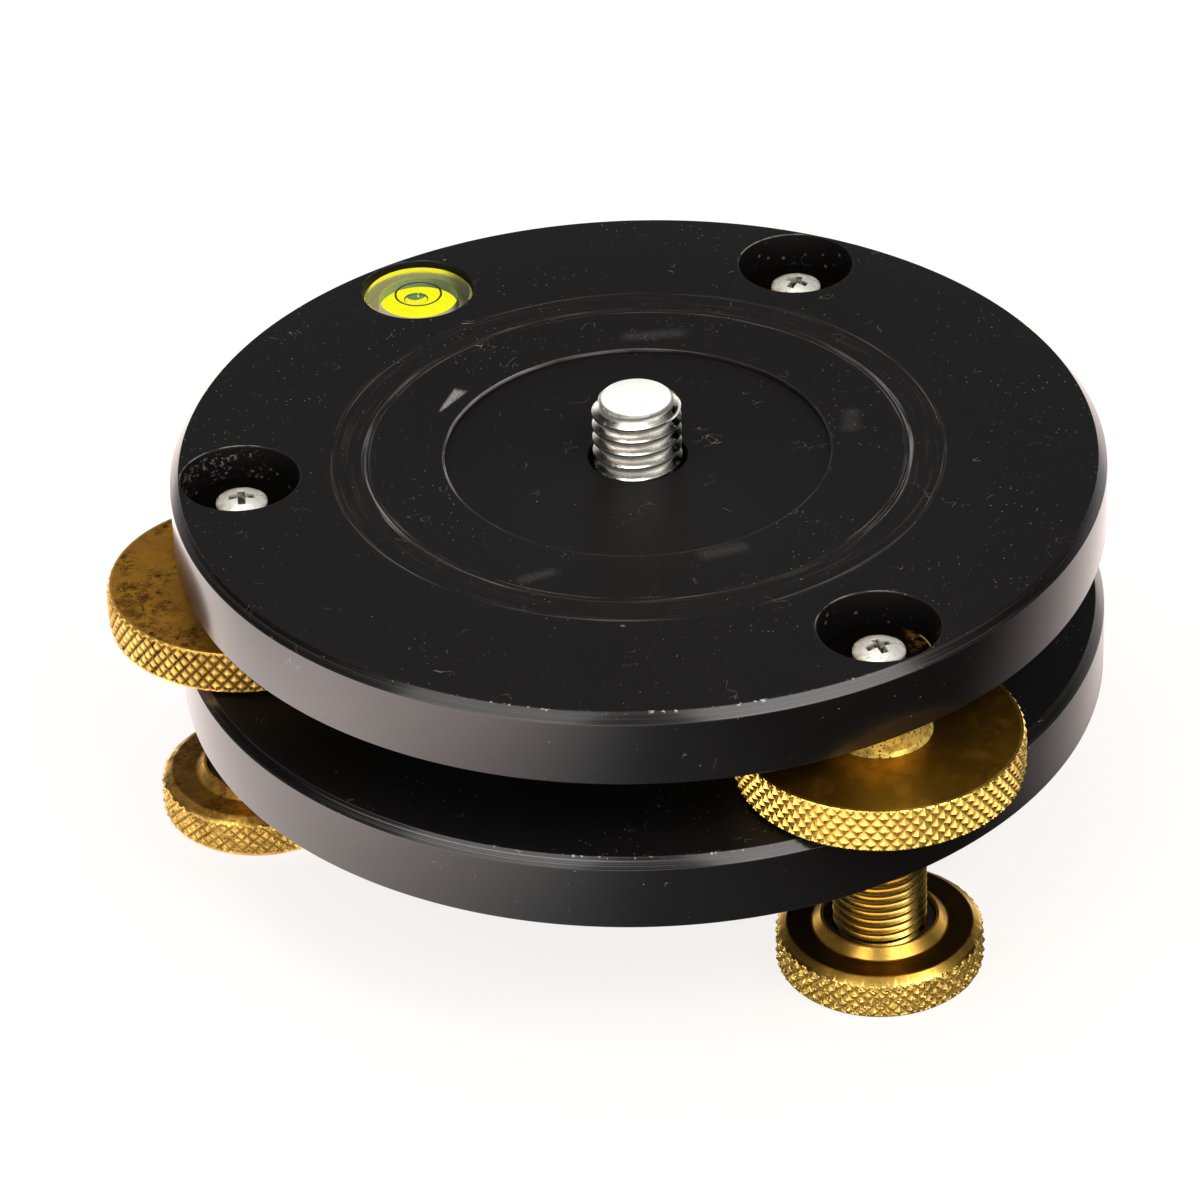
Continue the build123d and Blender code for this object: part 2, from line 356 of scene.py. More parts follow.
def threaded(name, thread, centre=(0, 0), below=(), above=(), start=0.0):
    """Threaded rod: plain turned rows below, a thread, and plain turned rows above.

    thread is what thread_rows gives, and start the angle at which it starts. below and
    above are (radius, height) rows; the first and last close to a point.
    """
    radius, z, angle = thread
    foot, head = [np.reshape(rows, (-1, 2, 1)).repeat(len(angle), 2) for rows in (below, above)]
    radius = np.vstack([foot[:, 0], radius, head[:, 0]])
    z = np.vstack([foot[:, 1], z, head[:, 1]])
    return welded(skin(name, rings(radius, z, start + angle, centre), joined=False))


def knurl(s, radius, bottom, top, blunt, seed, rough=0.02, uneven=0.35):
    """Radius, height and slant arrays of a diamond knurled band of the sizes in s.

    Two families of grooves cross: one climbs to the left and one to the right, each a
    triangle wave across its slope. The rim stands at its full radius except near a
    groove, so what is left between grooves is a pyramid. blunt cuts the pyramids'
    tips, each one more or less by a seeded draw as uneven says, and rough pits the metal.
    """
    fine = KNURL_STEPS
    around = int(round(2 * pi * radius / s.knurl_width))
    rise = max(1, int(round((top - bottom) / s.knurl_height)))
    columns, rows = around * fine, rise * fine
    u = np.arange(columns)[None, :] / fine
    v = np.arange(rows + 1)[:, None] / fine
    one, other = u + v, u - v
    valley = np.minimum(np.abs(one - np.round(one)), np.abs(other - np.round(other))) * 2
    draw = np.random.default_rng(seed)
    cut = draw.normal(blunt, blunt * uneven, (around + 1, rise * 2 + 2)).clip(0.02, 0.85)
    cell = cut[np.mod(np.floor(u).astype(int), around), np.floor(2 * v).astype(int)]
    peak = np.minimum(valley, 1 - cell)
    pits = draw.normal(0, rough, peak.shape)
    line = np.linspace(bottom, top, rows + 1)[:, None]
    i, j = np.arange(rows)[:, None], np.arange(columns)[None, :]
    slant = (np.mod(j - i, fine) == 0).astype(int)
    return radius - s.knurl_depth * (1 - np.clip(peak + pits, 0, 1)), line, slant


def knurled(name, band, centre, above, below):
    """Wheel whose rim is a knurled band: the band's rows, then turned rows over the top
    face, down the bore and back along the bottom face, as one closed skin."""
    radius, z, slant = band
    columns = radius.shape[1]
    plain = np.vstack([above, below])
    radius = np.vstack([radius, np.repeat(plain[:, :1], columns, 1)])
    z = np.vstack([np.repeat(z, columns, 1), np.repeat(plain[:, 1:], columns, 1)])
    lean = np.ones((len(radius), columns), int)
    lean[: len(slant)] = slant
    return skin(name, rings(radius, z, full_turn(columns), centre), True, lean)


# Shader maths

class Term:
    """A shader value. Arithmetic on it adds Math nodes."""

    def __init__(self, paint, socket):
        self.paint = paint
        self.socket = socket

    def math(self, operation, *others):
        values = dict(enumerate((self,) + others))
        return self.paint.node("ShaderNodeMath", {"operation": operation}, values)

    def __add__(self, other):
        return self.math("ADD", other)

    def __sub__(self, other):
        return self.math("SUBTRACT", other)

    def __rsub__(self, other):
        return self.paint.node("ShaderNodeMath", {"operation": "SUBTRACT"}, {0: other, 1: self})

    def __mul__(self, other):
        return self.math("MULTIPLY", other)

    def __truediv__(self, other):
        return self.math("DIVIDE", other)

    def __abs__(self):
        return self.math("ABSOLUTE")

    __radd__ = __add__
    __rmul__ = __mul__

    def capped(self, most=1.0):
        """The value, or the most that it may be."""
        return self.math("MINIMUM", most)

    def fade(self, start, end):
        """Nought at start, one at end, smooth between."""
        smooth = {"interpolation_type": "SMOOTHSTEP"}
        return self.paint.node("ShaderNodeMapRange", smooth, {0: self, 1: start, 2: end, 3: 0.0, 4: 1.0})

    def band(self, at, half):
        """One at a value, fading to nought half a width away."""
        return abs(self - at).fade(half, half * 0.25)


class Paint:
    """The node tree of a material or world under construction."""

    def __init__(self, name, family=None):
        self.owner = (bpy.data.materials if family is None else family).new(name)
        self.owner.use_nodes = True
        self.tree = self.owner.node_tree
        self.tree.nodes.clear()

    def node(self, kind, settings=None, inputs=None, output=0):
        """Adds a node: its settings first, then the values or links of its sockets."""
        node = self.tree.nodes.new(kind)
        for key, value in (settings or {}).items():
            setattr(node, key, value)
        for key, value in (inputs or {}).items():
            if isinstance(value, Term):
                self.tree.links.new(value.socket, node.inputs[key])
            else:
                node.inputs[key].default_value = value
        return Term(self, node.outputs[output])

    def place(self, centre=(0, 0, 0)):
        """Position on the piece in millimetres from a centre given in metres."""
        coords = self.node("ShaderNodeTexCoord", output="Object")
        return self.node("ShaderNodeMapping", {"vector_type": "POINT"}, {
            "Vector": coords,
            "Location": tuple(-c / MM for c in centre),
            "Scale": (1 / MM, 1 / MM, 1 / MM),
        })

    def parts(self, vector):
        """x, y and z of a vector."""
        outputs = self.node("ShaderNodeSeparateXYZ", None, {0: vector}).socket.node.outputs
        return [Term(self, outputs[axis]) for axis in range(3)]

    def join(self, x=0.0, y=0.0, z=0.0):
        """Vector from three values."""
        return self.node("ShaderNodeCombineXYZ", None, {0: x, 1: y, 2: z})

    def reach(self, x, y):
        """Distance from the axis."""
        return (x * x + y * y).math("SQRT")

    def noise(self, vector, scale, detail=3.0, roughness=0.55):
        """Cloudy value from nought to one; scale is in features per millimetre."""
        sockets = {"Vector": vector, "Scale": scale, "Detail": detail, "Roughness": roughness}
        return self.node("ShaderNodeTexNoise", None, sockets)

    def specks(self, vector, scale, size, sparse):
        """Small dots: one cell in a few holds a dot of the given size."""
        kind = {"feature": "F1"}
        near = self.node("ShaderNodeTexVoronoi", kind, {"Vector": vector, "Scale": scale})
        tint = self.node("ShaderNodeTexVoronoi", kind, {"Vector": vector, "Scale": scale}, "Color")
        picked = self.parts(tint)[0].math("GREATER_THAN", sparse)
        return near.fade(size, size * 0.4) * picked

    def mix(self, factor, first, second):
        """Colour between two colours."""
        sockets = {0: factor, 6: self.rgba(first), 7: self.rgba(second)}
        return self.node("ShaderNodeMix", {"data_type": "RGBA"}, sockets, 2)

    @staticmethod
    def rgba(value):
        """A colour as a socket takes it."""
        return value if isinstance(value, Term) else (*value, 1.0)

    def bump(self, height, strength):
        """Normal bent by a height."""
        sockets = {"Height": height, "Strength": strength, "Distance": BUMP_HEIGHT}
        return self.node("ShaderNodeBump", None, sockets)

    def lathe(self, x, y, across, along_scale, across_scale):
        """Cloudy value drawn out round the axis, as a lathe tool leaves it."""
        r = self.reach(x, y)
        drawn = self.join(x / r * along_scale, y / r * along_scale, across * across_scale)
        return self.noise(drawn, 1.0, 2.0)

    def shader(self, **sockets):
        """Principled shader. A word's underscores are spaces in its socket."""
        inputs = {}
        for key, value in sockets.items():
            name = key.replace("_", " ")
            inputs[name] = self.rgba(value) if name in ("Base Color", "Emission Color") else value
        return self.node("ShaderNodeBsdfPrincipled", None, inputs)

    def finish(self, **sockets):
        """Principled shader on the output."""
        return self.output(self.shader(**sockets))

    def output(self, shader, kind="ShaderNodeOutputMaterial"):
        """Joins a shader to the output, and gives back the material or world."""
        output = self.tree.nodes.new(kind)
        self.tree.links.new(shader.socket, output.inputs["Surface"])
        return self.owner


# Materials

def sizes():
    """The sizes set in the panel."""
    return bpy.context.scene.head_sizes


def finish():
    """The colours and amounts of wear set in the panel."""
    return bpy.context.scene.head_finish


def tarnish_of(corner):
    """Share of brown on a corner's brass."""
    return getattr(finish(), "tarnish_" + corner)


def corner_nodes(kind):
    """For each corner: its number and name, its CAD node of this kind, and that node's
    lowest and highest z and radius."""
    for number, name in enumerate(CORNERS):
        node = kind + "_" + name
        yield number, name, node, *span(node), widest(node)


def shaded(tone, amount):
    """A colour made lighter or darker."""
    return [channel * amount for channel in tone]


def started(name, centre=(0, 0, 0)):
    """What a material starts from: the panel's colours, its paint, the place on the piece
    in millimetres from a centre, its x, y and z, and its distance from the upright axis."""
    paint = Paint(name)
    here = paint.place(centre)
    x, y, z = paint.parts(here)
    return finish(), paint, here, x, y, z, paint.reach(x, y)


# Faint rings rubbed on the upper plate: radius and half width in millimetres, the two
# values of the streaks between which they break up, and strength
RINGS = (
    (28.6, 0.22, 0.48, 0.66, 0.18),
    (32.7, 0.30, 0.44, 0.66, 0.16),
    (31.0, 3.00, 0.52, 0.74, 0.05),
)
# Scuffs on the upper plate: x, y, half length and half width in millimetres, turn in
# degrees, taper and how bare the metal is
SCUFFS = (
    (-19.2, 12.6, 2.8, 0.70, 58, 0.9, 1.0),
    (7.0, -20.8, 3.2, 1.30, 15, 0.0, 0.10),
    (23.3, 2.9, 2.8, 1.30, 80, 0.0, 0.08),
    (4.0, 23.4, 4.2, 1.20, 0, 0.0, 0.10),
    (-12.6, -23.0, 2.6, 1.00, 20, 0.0, 0.10),
)


def anodised(name, top, recess=0.0, mouths=(), grooved=0.0):
    """Black anodised aluminium: turning marks, dust, ring-shaped wear, scuffs and nicks, and painted
    highlights on the holes' edges and the recess's edge.

    top and recess, the radius of the shallow recess, are in millimetres. mouths are
    (centre, radius, shine) rows of the holes whose edges and walls show: each edge gets chips
    and a painted highlight on its back left side, as strong as shine says. grooved is how
    strongly the front left of the chamfer shows its turning lines.
    """
    look, paint, here, x, y, z, r = started(name)
    rim = PLATE_R / MM
    chamfer = sizes().edge_chamfer / MM
    slope_r, slope_z = rim - chamfer, top - chamfer
    turning = paint.lathe(x, y, r - z, 2.0, 9.0)
    clouds = paint.noise(here, 0.06)
    on_top = z.fade(top - 0.35, top - 0.15)
    on_wall = r.fade(rim - 0.10, rim - 0.04)
    on_chamfer = r.fade(slope_r - 0.02, slope_r + 0.08) * z.fade(slope_z - 0.1, slope_z + 0.05)
    fine_lines = paint.lathe(x, y, r - z, 1.2, 4.5).fade(0.54, 0.62)
    nicks = r.band(slope_r + 0.03, 0.2) * paint.noise(here, 1.5).fade(0.60, 0.66) * y.fade(-43.0, -46.0)
    lines = paint.noise(paint.join(r - z), 3.2, 1.0).fade(0.50, 0.60)
    front_left = x.fade(5.0, -12.0) * y.fade(-30.0, -42.0)
    bare = dust(paint, here, on_top) + on_chamfer * (fine_lines * 0.05 + lines * front_left * grooved) + nicks
    if recess:
        bare = bare + on_top * worn_rings(paint, x, y, r, recess)
    hollow = 0.0
    chipped = paint.noise(here, 0.5, 2.0).fade(0.36, 0.60)
    for centre, radius, painted_shine in mouths:
        dx, dy = x - centre[0] / MM, y - centre[1] / MM
        away = paint.reach(dx, dy)
        # painted highlight on the back left of each hole's edge, broken up by chips, over a faint worn line
        # all round
        behind = (dy * 0.87 - dx * 0.5).fade(radius * 0.35, radius * 0.95)
        bare = bare + away.band(radius + 0.14, 0.09) * on_top * (behind * chipped * 0.7 + 0.03) * painted_shine
        hollow = hollow + away.fade(radius + 0.12, radius + 0.02)
    base = paint.mix(clouds * 0.5, look.anodised, shaded(look.anodised, 1.5))
    base = paint.mix((bare * look.scuffs).capped(), base, look.bare)
    if mouths:
        below = z.fade(top - 0.3, top - 0.8)
        base = paint.mix(crumbs(paint, here, x) * below * hollow, base, look.crumbs)
    polished = on_wall + on_chamfer
    return paint.finish(
        Base_Color=base,
        Roughness=0.46 + clouds * 0.08 + bare * 0.2 - polished * 0.22,
        Specular_IOR_Level=0.16,
        Coat_Weight=(polished * 0.60).capped(),
        Coat_Roughness=0.16,
        Normal=paint.bump(turning * (0.5 + on_wall * 1.2) + paint.noise(here, 6.0) * 0.4, 0.14),
    )


def dust(paint, here, on_top):
    """Grains everywhere, more of them in drifts on the top face, and short hairs."""
    grains = paint.specks(here, 0.55, 0.045, 0.50) + paint.specks(here, 1.5, 0.075, 0.78) * 0.7
    drifts = paint.noise(here, 0.09, 2.0).fade(0.44, 0.62)
    grains = grains + paint.specks(here, 1.9, 0.15, 0.62) * drifts * on_top
    short = paint.noise(here, 0.33, 0.0).fade(0.74, 0.75)
    return grains * 0.9 + paint.noise(here, 0.42, 1.0).band(0.5, 0.005) * short * 0.35


def crumbs(paint, here, x):
    """Dry dirt on the walls of the access holes: a few specks, and patches at the left."""
    patches = paint.noise(here, 0.30, 2.0).fade(0.32, 0.52) * x.fade(-38.5, -42.0)
    caked = paint.noise(here, 2.0, 4.0, 0.7).fade(0.56, 0.64) * patches
    return (caked * 0.8 + paint.specks(here, 0.9, 0.24, 0.45) * 0.5).capped()


def worn_rings(paint, x, y, r, recess):
    """What a camera plate has rubbed bare: broken rings, the recess's edge and scuffs. The recess's edge also
    carries a painted highlight on its lit back left side.
    """
    streaks = paint.lathe(x, y, r, 3.0, 5.0)
    weight = paint.noise(paint.join(x, y), 0.07, 2.0).fade(0.38, 0.66)
    bright = x.fade(25.5, 28.0) + x.fade(-25.0, -27.5) * y.fade(2.0, -4.0)
    worn = r.band(29.2, 0.36) * streaks.fade(0.40, 0.62) * (weight * 0.6 + bright * 0.8 + 0.12) * 0.45
    for radius, half, start, end, strength in RINGS:
        worn = worn + r.band(radius, half) * streaks.fade(start, end) * strength
    # painted highlight: the recess's edge is lighter on its lit back left side, over a little wear all round
    lit_side = (y * 0.6 - x * 0.8).fade(recess * 0.1, recess * 0.9)
    worn = worn + r.band(recess + 0.1, 0.20) * (streaks.fade(0.35, 0.7) * 0.7 + 0.12) * (lit_side + 0.1)
    rubbed = paint.noise(paint.join(x, y), 2.4, 3.0, 0.7).fade(0.30, 0.70) * 0.75 + 0.25
    for cx, cy, long, wide, turn, taper, strength in SCUFFS:
        c, s = cos(radians(turn)), sin(radians(turn))
        along = (x - cx) * c + (y - cy) * s
        across = abs((y - cy) * c - (x - cx) * s) - (1 + along * taper / long) * wide * 0.6
        soft = wide * (0.6 - 0.4 * taper)
        worn = worn + abs(along).fade(long, long * 0.6) * across.fade(soft, -soft) * rubbed * strength
    return worn


def dots(paint, here, spotted):
    """Dark dots of two sizes on old brass."""
    small = paint.noise(here, 1.35, 4.0, 0.68).fade(0.60 - 0.10 * spotted, 0.68 - 0.08 * spotted)
    return small + paint.noise(here, 0.55, 5.0, 0.75).fade(0.55, 0.64) * spotted * 0.8


def brass(name, corner, tarnish, rim, groove, spotted, ends=None, flat=None, film=0.0, roots=0.6, reach=0.5):
    """Turned brass under old lacquer, with brown skin in patches and dark grooves.

    rim and groove are the radii in millimetres of the knurl's or thread's tips and of
    its roots, and ends the heights between which a knurl runs. What is wider than the
    rim is the neck, yellow and densely dotted. spotted is the share of dark dots. flat
    is (inner, outer, dark, polished): the radii between which a face gets painted shade
    that stands for the black plate reflected in it, how dark that is, and how much of it
    is left out in front of the neck, where the face stays bright as a painted reflection
    of the neck; the painted shade also grows towards the right. film is the share of
    amber lacquer on faces, roots the dirt and painted shade in the grooves and reach how
    far up it goes.
    """
    look, paint, here, x, y, z, r = started(name, CENTRE[corner])
    marks = paint.lathe(x, y, r - z, 1.5, 7.0)
    blotch = paint.noise(here, 0.22, 5.0, 0.6)
    clusters = paint.noise(here, 0.16, 2.0).fade(0.36, 0.60)
    on_rim = r.fade(groove - 0.35, groove - 0.05)
    on_neck = r.fade(rim + 0.08, rim + 0.14)
    # dark grooves: dirt and painted shade in the roots of knurls and threads
    deep = r.fade(groove + reach * (rim - groove), groove + 0.05 * (rim - groove)) * on_rim * roots
    if ends:
        low, high = ends
        deep = deep * z.fade(low + 0.1, low + 0.4) * z.fade(high - 0.1, high - 0.4)
    spots = dots(paint, here, spotted) * ((clusters + on_neck).capped() * 0.9 + 0.1) * spotted
    spots = spots * (1 - on_rim * 0.8 + on_neck * 0.6) + deep + paint.specks(here, 2.3, 0.42, 0.50) * on_neck
    spots = spots.capped()
    mottle = paint.noise(here, 0.62, 4.0, 0.66).fade(0.47, 0.60) * clusters * spotted
    mottle = mottle * (1 - on_rim) * (1 - on_neck)
    brown = blotch.fade(0.60 - 0.5 * tarnish, 0.95 - 0.5 * tarnish) * (1 - on_rim * 0.45)
    amber = (film * (0.75 + blotch * 0.5) * (1 - on_rim * 0.85)).capped()
    browned = on_neck * paint.noise(here, 0.7, 4.0, 0.65).fade(0.44, 0.62)
    tone = look.brass
    for amount, skin_tone in (
        (amber, look.lacquer),
        (brown * 0.85, look.tarnish),
        (mottle * 0.75, look.mottle),
        (spots * (1 - mottle * 0.35), look.spots),
        (on_neck * (1 - spots) * 0.8, look.neck),
        (browned * 0.6, look.tarnish),
    ):
        tone = paint.mix(amount, tone, skin_tone)
    if flat:
        inner, outer, dark, polished = flat
        # painted shade on the face: the black plate's painted reflection, left out in a painted bright streak
        # in front of the neck and stronger towards the right
        front = abs(x + 0.5).fade(5.0, 0.5) * y.fade(-3.0, -7.0)
        dark = dark * r.fade(inner, inner + 0.2) * r.fade(outer, outer - 0.2)
        dark = dark * (1 - front * polished + x.fade(2.0, 9.0) * polished * 0.5)
        tone = paint.mix((dark * (0.70 + blotch * 0.6)).capped(), tone, look.spots)
    return paint.finish(
        Base_Color=tone,
        Metallic=(1 - amber * 0.1) * (1 - brown * 0.45) * (1 - spots * 0.5) * (1 - on_neck * 0.35),
        Roughness=0.21 + (on_neck + brown + spots) * 0.20 + amber * 0.08 + marks * 0.05,
        Specular_IOR_Level=0.0,
        Normal=paint.bump(marks * 0.35 + spots * 0.5, 0.14),
    )


def cap_in_painted_shade(name, corner, rim, worn):
    """Brass cap painted black all over, as dirt and as painted shade of its deep hole, but
    for a place at the right of its rim, where brown patches and a bright brass edge are a
    painted highlight.

    rim is its radius in millimetres, and worn how much of that painted place there is.
    """
    look, paint, here, x, y, z, r = started(name, CENTRE[corner])
    marks = paint.lathe(x, y, r - z, 1.5, 7.0)
    blotch = paint.noise(here, 0.22, 5.0, 0.6)
    spots = dots(paint, here, 0.3).capped()
    patches = paint.noise(here, 1.0, 4.0, 0.7).fade(0.44, 0.60)
    # painted highlight at the right of the rim: brown patches and a bright brass edge
    browned = x.fade(2.8, 3.8) * y.fade(0.2, 2.6) * patches * worn
    edge = r.band(rim, 0.26) * x.fade(4.4, 5.0) * y.fade(0.2, 1.2) * worn
    # elsewhere that dark colour is painted shade of the deep hole as well as dirt
    tone = paint.mix(browned * 0.30, look.grime_and_shade, look.tarnish)
    rough = 0.63 - edge * 0.3 + (blotch.fade(0.50, 0.85) + spots) * 0.20
    return paint.finish(
        Base_Color=paint.mix(edge * 0.6, tone, look.brass),
        Metallic=edge * 0.6,
        Roughness=rough + blotch * 0.02 + marks * 0.05,
        Specular_IOR_Level=0.0,
        Normal=paint.bump(marks * 0.35 + spots * 0.5, 0.14),
    )


def zinc_stud(name, end, root):
    """Zinc plated steel, brushed, with stains, dirt and painted shade darkening the thread's roots, and a
    painted white highlight on its end.

    end is the height of that end and root the radius of the thread's roots, both in
    millimetres.
    """
    look, paint, here, x, y, z, r = started(name)
    streaks = paint.lathe(x, y, r - z, 1.5, 8.0)
    stain = paint.noise(here, 1.1, 4.0, 0.7).fade(0.48, 0.80)
    # painted highlight: the stud's end is white and matt
    white = z.fade(end - 0.48, end - 0.38)
    # darker thread roots: dirt and painted shade
    dirt = ((stain * 0.35 + r.fade(root + 0.26, root + 0.02) * 0.6) * (1 - white)).capped()
    return paint.finish(
        Base_Color=paint.mix(dirt, paint.mix(white, look.zinc, look.painted_end_highlight), look.grime_and_shade),
        Metallic=1.0 - dirt * 0.5 - white * 0.92,
        Roughness=dirt * 0.25 + streaks * 0.08 + white * 0.15 + 0.19,
        Normal=paint.bump(streaks * 0.5 + stain * 0.3, 0.35),
    )


def zinc_head(name, centre, crown):
    """Zinc plated pan head: its cross holds dirt and painted shade, it is darker towards its rim and foot,
    and its far side is yellowed.

    crown is the height of its middle in millimetres. The cross is what lies below the
    dome, whose height falls by domed times the distance from the axis squared.
    """
    look, paint, here, x, y, z, r = started(name, centre)
    streaks = paint.lathe(x, y, r - z, 1.5, 8.0)
    stain = paint.noise(here, 1.1, 4.0, 0.7).fade(0.48, 0.80)
    domed = 0.095
    # cross recess darkened: dirt and painted shade
    recess = (z - crown + r * r * domed).fade(-0.08, -0.25) * r.fade(1.85, 1.75)
    pits = paint.noise(here, 0.75).fade(0.42, 0.58)
    # darker towards the head's rim and foot
    skirt = (r.fade(2.35, 2.72) + z.fade(crown - 0.7, crown - 1.3)) * 0.5
    dirt = (stain * 0.8 + recess * (pits * 0.6 + 0.38) + skirt * r.fade(1.6, 1.8)).capped()
    yellowed = r.fade(1.5, 2.5) * (y - x * 0.8).fade(-1.2, 1.6)
    yellowed = yellowed * paint.noise(here, 0.7, 4.0, 0.65).fade(0.36, 0.60)
    plated = paint.mix(yellowed * 0.8, look.zinc, look.yellowed)
    return paint.finish(
        Base_Color=paint.mix(dirt, plated, look.soil_and_shade),
        Metallic=0.55 - dirt * 0.5,
        Roughness=dirt * 0.25 + streaks * 0.08 + 0.42,
        Normal=paint.bump(streaks * 0.5 + stain * 0.3, 0.2),
    )


def moulded(name, tone, roughness):
    """Turned or moulded plastic and rubber: a fine grain and cloudy tone."""
    paint = Paint(name)
    here = paint.place()
    grain = paint.noise(here, 5.0)
    return paint.finish(
        Base_Color=paint.mix(paint.noise(here, 0.4), tone, shaded(tone, 0.7)),
        Roughness=roughness + grain * 0.12,
        Normal=paint.bump(grain, 0.2),
    )


# Nearly black green: painted shade of the level where it faces the dark side
PAINTED_SHADE_GREEN = (0.02, 0.03, 0.02)


def clear_and_lit(paint, haze, clear, index, factor, tone, light, strength):
    """Clear material of two cloudy tones, and where factor says one that gives painted light."""
    glass = paint.shader(
        Base_Color=paint.mix(haze * 0.25, *clear),
        Roughness=0.02 + haze * 0.01,
        IOR=index,
        Transmission_Weight=1.0,
    )
    lit = paint.shader(Base_Color=tone, Roughness=0.5, Emission_Color=light, Emission_Strength=strength)
    return paint.output(paint.node("ShaderNodeMixShader", None, {0: factor, 1: glass, 2: lit}))


def acrylic(name, centre, outer, cell, depth, plug):
    """Clear acrylic whose walls carry painted light that stands for the liquid's glow: yellow
    under the top edge, paler below, painted shade at the right, and painted green to blue
    light inside the cell. Sizes are in millimetres from the middle of its top face; plug is
    the depth of the plug's top."""
    look, paint, here, x, y, z, r = started(name, centre)
    haze = paint.noise(here, 2.0, 2.0)
    lens = (LENS_DEPTH + LENS_RISE) / MM
    wall = r.fade(outer - 0.10, outer - 0.05) * z.fade(-0.20, -0.35)
    foot = z.fade(0.05 - depth, 0.01 - depth)
    sleeve = r.fade(cell + 0.012, cell + 0.004) * z.fade(-lens - 0.01, -lens - 0.07)
    inside = sleeve * z.fade(-0.05 - plug, 0.05 - plug)
    low = (z + haze * 0.8).fade(-0.9, -2.2)
    # painted shade: the walls are dark at the right
    right = (x * 0.9 + y * 0.2).fade(3.4, 5.2) * 0.85
    # painted light in the walls: a yellow tone and a brighter one for inside the cell
    tone, painted_shine = [
        paint.mix(right, paint.mix(low, shaded(look.plug, amount), look.edge_light), (0.02, 0.025, 0.01))
        for amount in (1.0, 1.7)
    ]
    # painted green to blue light on the cell's inner wall
    green = paint.mix((x + haze).fade(-3.5, 0.5), (0.60, 0.72, 0.50), (0.24, 0.45, 0.50))
    green = paint.mix((x + haze).fade(0.5, 3.2), green, (0.035, 0.15, 0.30))
    return clear_and_lit(
        paint, haze, ((0.97, 0.99, 0.95), (0.90, 0.93, 0.85)), 1.49, (wall + foot + sleeve).capped(0.96),
        paint.mix(inside, tone, PAINTED_SHADE_GREEN), paint.mix(inside, painted_shine, green), 0.42,
    )


def level_liquid(name, centre, cell, bubble, half):
    """Tinted liquid with painted light. Its side shows pale from outside, with painted shade
    at the right but for a painted glint. The far half of the bubble's hollow is painted
    green, and its near edge a thin painted dark line, both standing for how the bubble bends
    light. Sizes are in millimetres from the middle of the vial's top face; bubble is the
    middle of the bubble and half its radius."""
    look, paint, here, x, y, z, r = started(name, centre)
    haze = paint.noise(here, 1.5, 2.0)
    lens = LENS_DEPTH / MM
    dx, dy = x - bubble[0], y - bubble[1]
    away = paint.reach(dx, dy)
    # painted bubble: its hollow's far half green and its near edge a dark line
    hollow = away.fade(half + 0.04, half - 0.02) * z.fade(-lens - 0.01, -lens - 0.04) * z.fade(-2.4, -2.2)
    line = away.band(half - 0.07, 0.10) * dy.fade(-half, -half * 0.3) * hollow
    far = hollow * dy.fade(0.62, 0.74)
    # painted light and shade on the liquid's side: pale at the left, dark at the right, with a painted glint
    pale = (x * 0.9 + y * 0.2 + haze).fade(4.2, 2.4)
    glint = paint.reach(x - 4.4, y + 3.1).fade(0.7, 0.3)
    green = paint.mix((pale + glint).capped(), (0.02, 0.025, 0.012), (0.46, 0.42, 0.27))
    green = paint.mix(far, green, (0.08, 0.21, 0.045))
    green = paint.mix(line, green, (0.05, 0.09, 0.02))
    factor = (r.fade(cell - 0.06, cell - 0.01) * 0.9 + far + line).capped(0.97)
    clear = (look.liquid, shaded(look.liquid, 0.9))
    return clear_and_lit(paint, haze, clear, 1.36, factor, PAINTED_SHADE_GREEN, green, 1.0)


def glowing(name, tone, strength):
    """Plastic with a painted glow, as if the tinted liquid lit it up."""
    paint = Paint(name)
    shade = paint.mix(paint.noise(paint.place(), 0.8, 2.0) * 0.4, tone, shaded(tone, 0.88))
    return paint.finish(Base_Color=shade, Roughness=0.5, Emission_Color=shade, Emission_Strength=strength)


def add_piece(name, mesh, body, material, nodes=(), crease=28.0):
    """Puts a mesh in the scene as a piece that rides on a body and stands for CAD nodes."""
    if not len(mesh.polygons):
        raise RuntimeError(name + " has no faces")
    mesh.materials.clear()
    mesh.materials.append(material)
    mesh.shade_smooth()
    mesh.set_sharp_from_angle(angle=radians(crease))
    piece = bpy.data.objects.new(name, mesh)
    bpy.context.scene.collection.objects.link(piece)
    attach(piece, body)
    if nodes:
        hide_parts(*nodes)
    return piece


def dress(node, material):
    """Gives a CAD node that stays in view its material."""
    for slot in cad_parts[node].material_slots:
        slot.material = material


def plate_rim(s, bottom, top):
    """Profile of a plate's rim, from its broken lower edge to its chamfer's inner edge."""
    return [
        (PLATE_R - s.edge_break, bottom),
        (PLATE_R, bottom + s.edge_break),
        (PLATE_R, top - s.edge_chamfer),
        (PLATE_R - s.edge_chamfer, top),
    ]


# Operators: one for each piece or group of like pieces

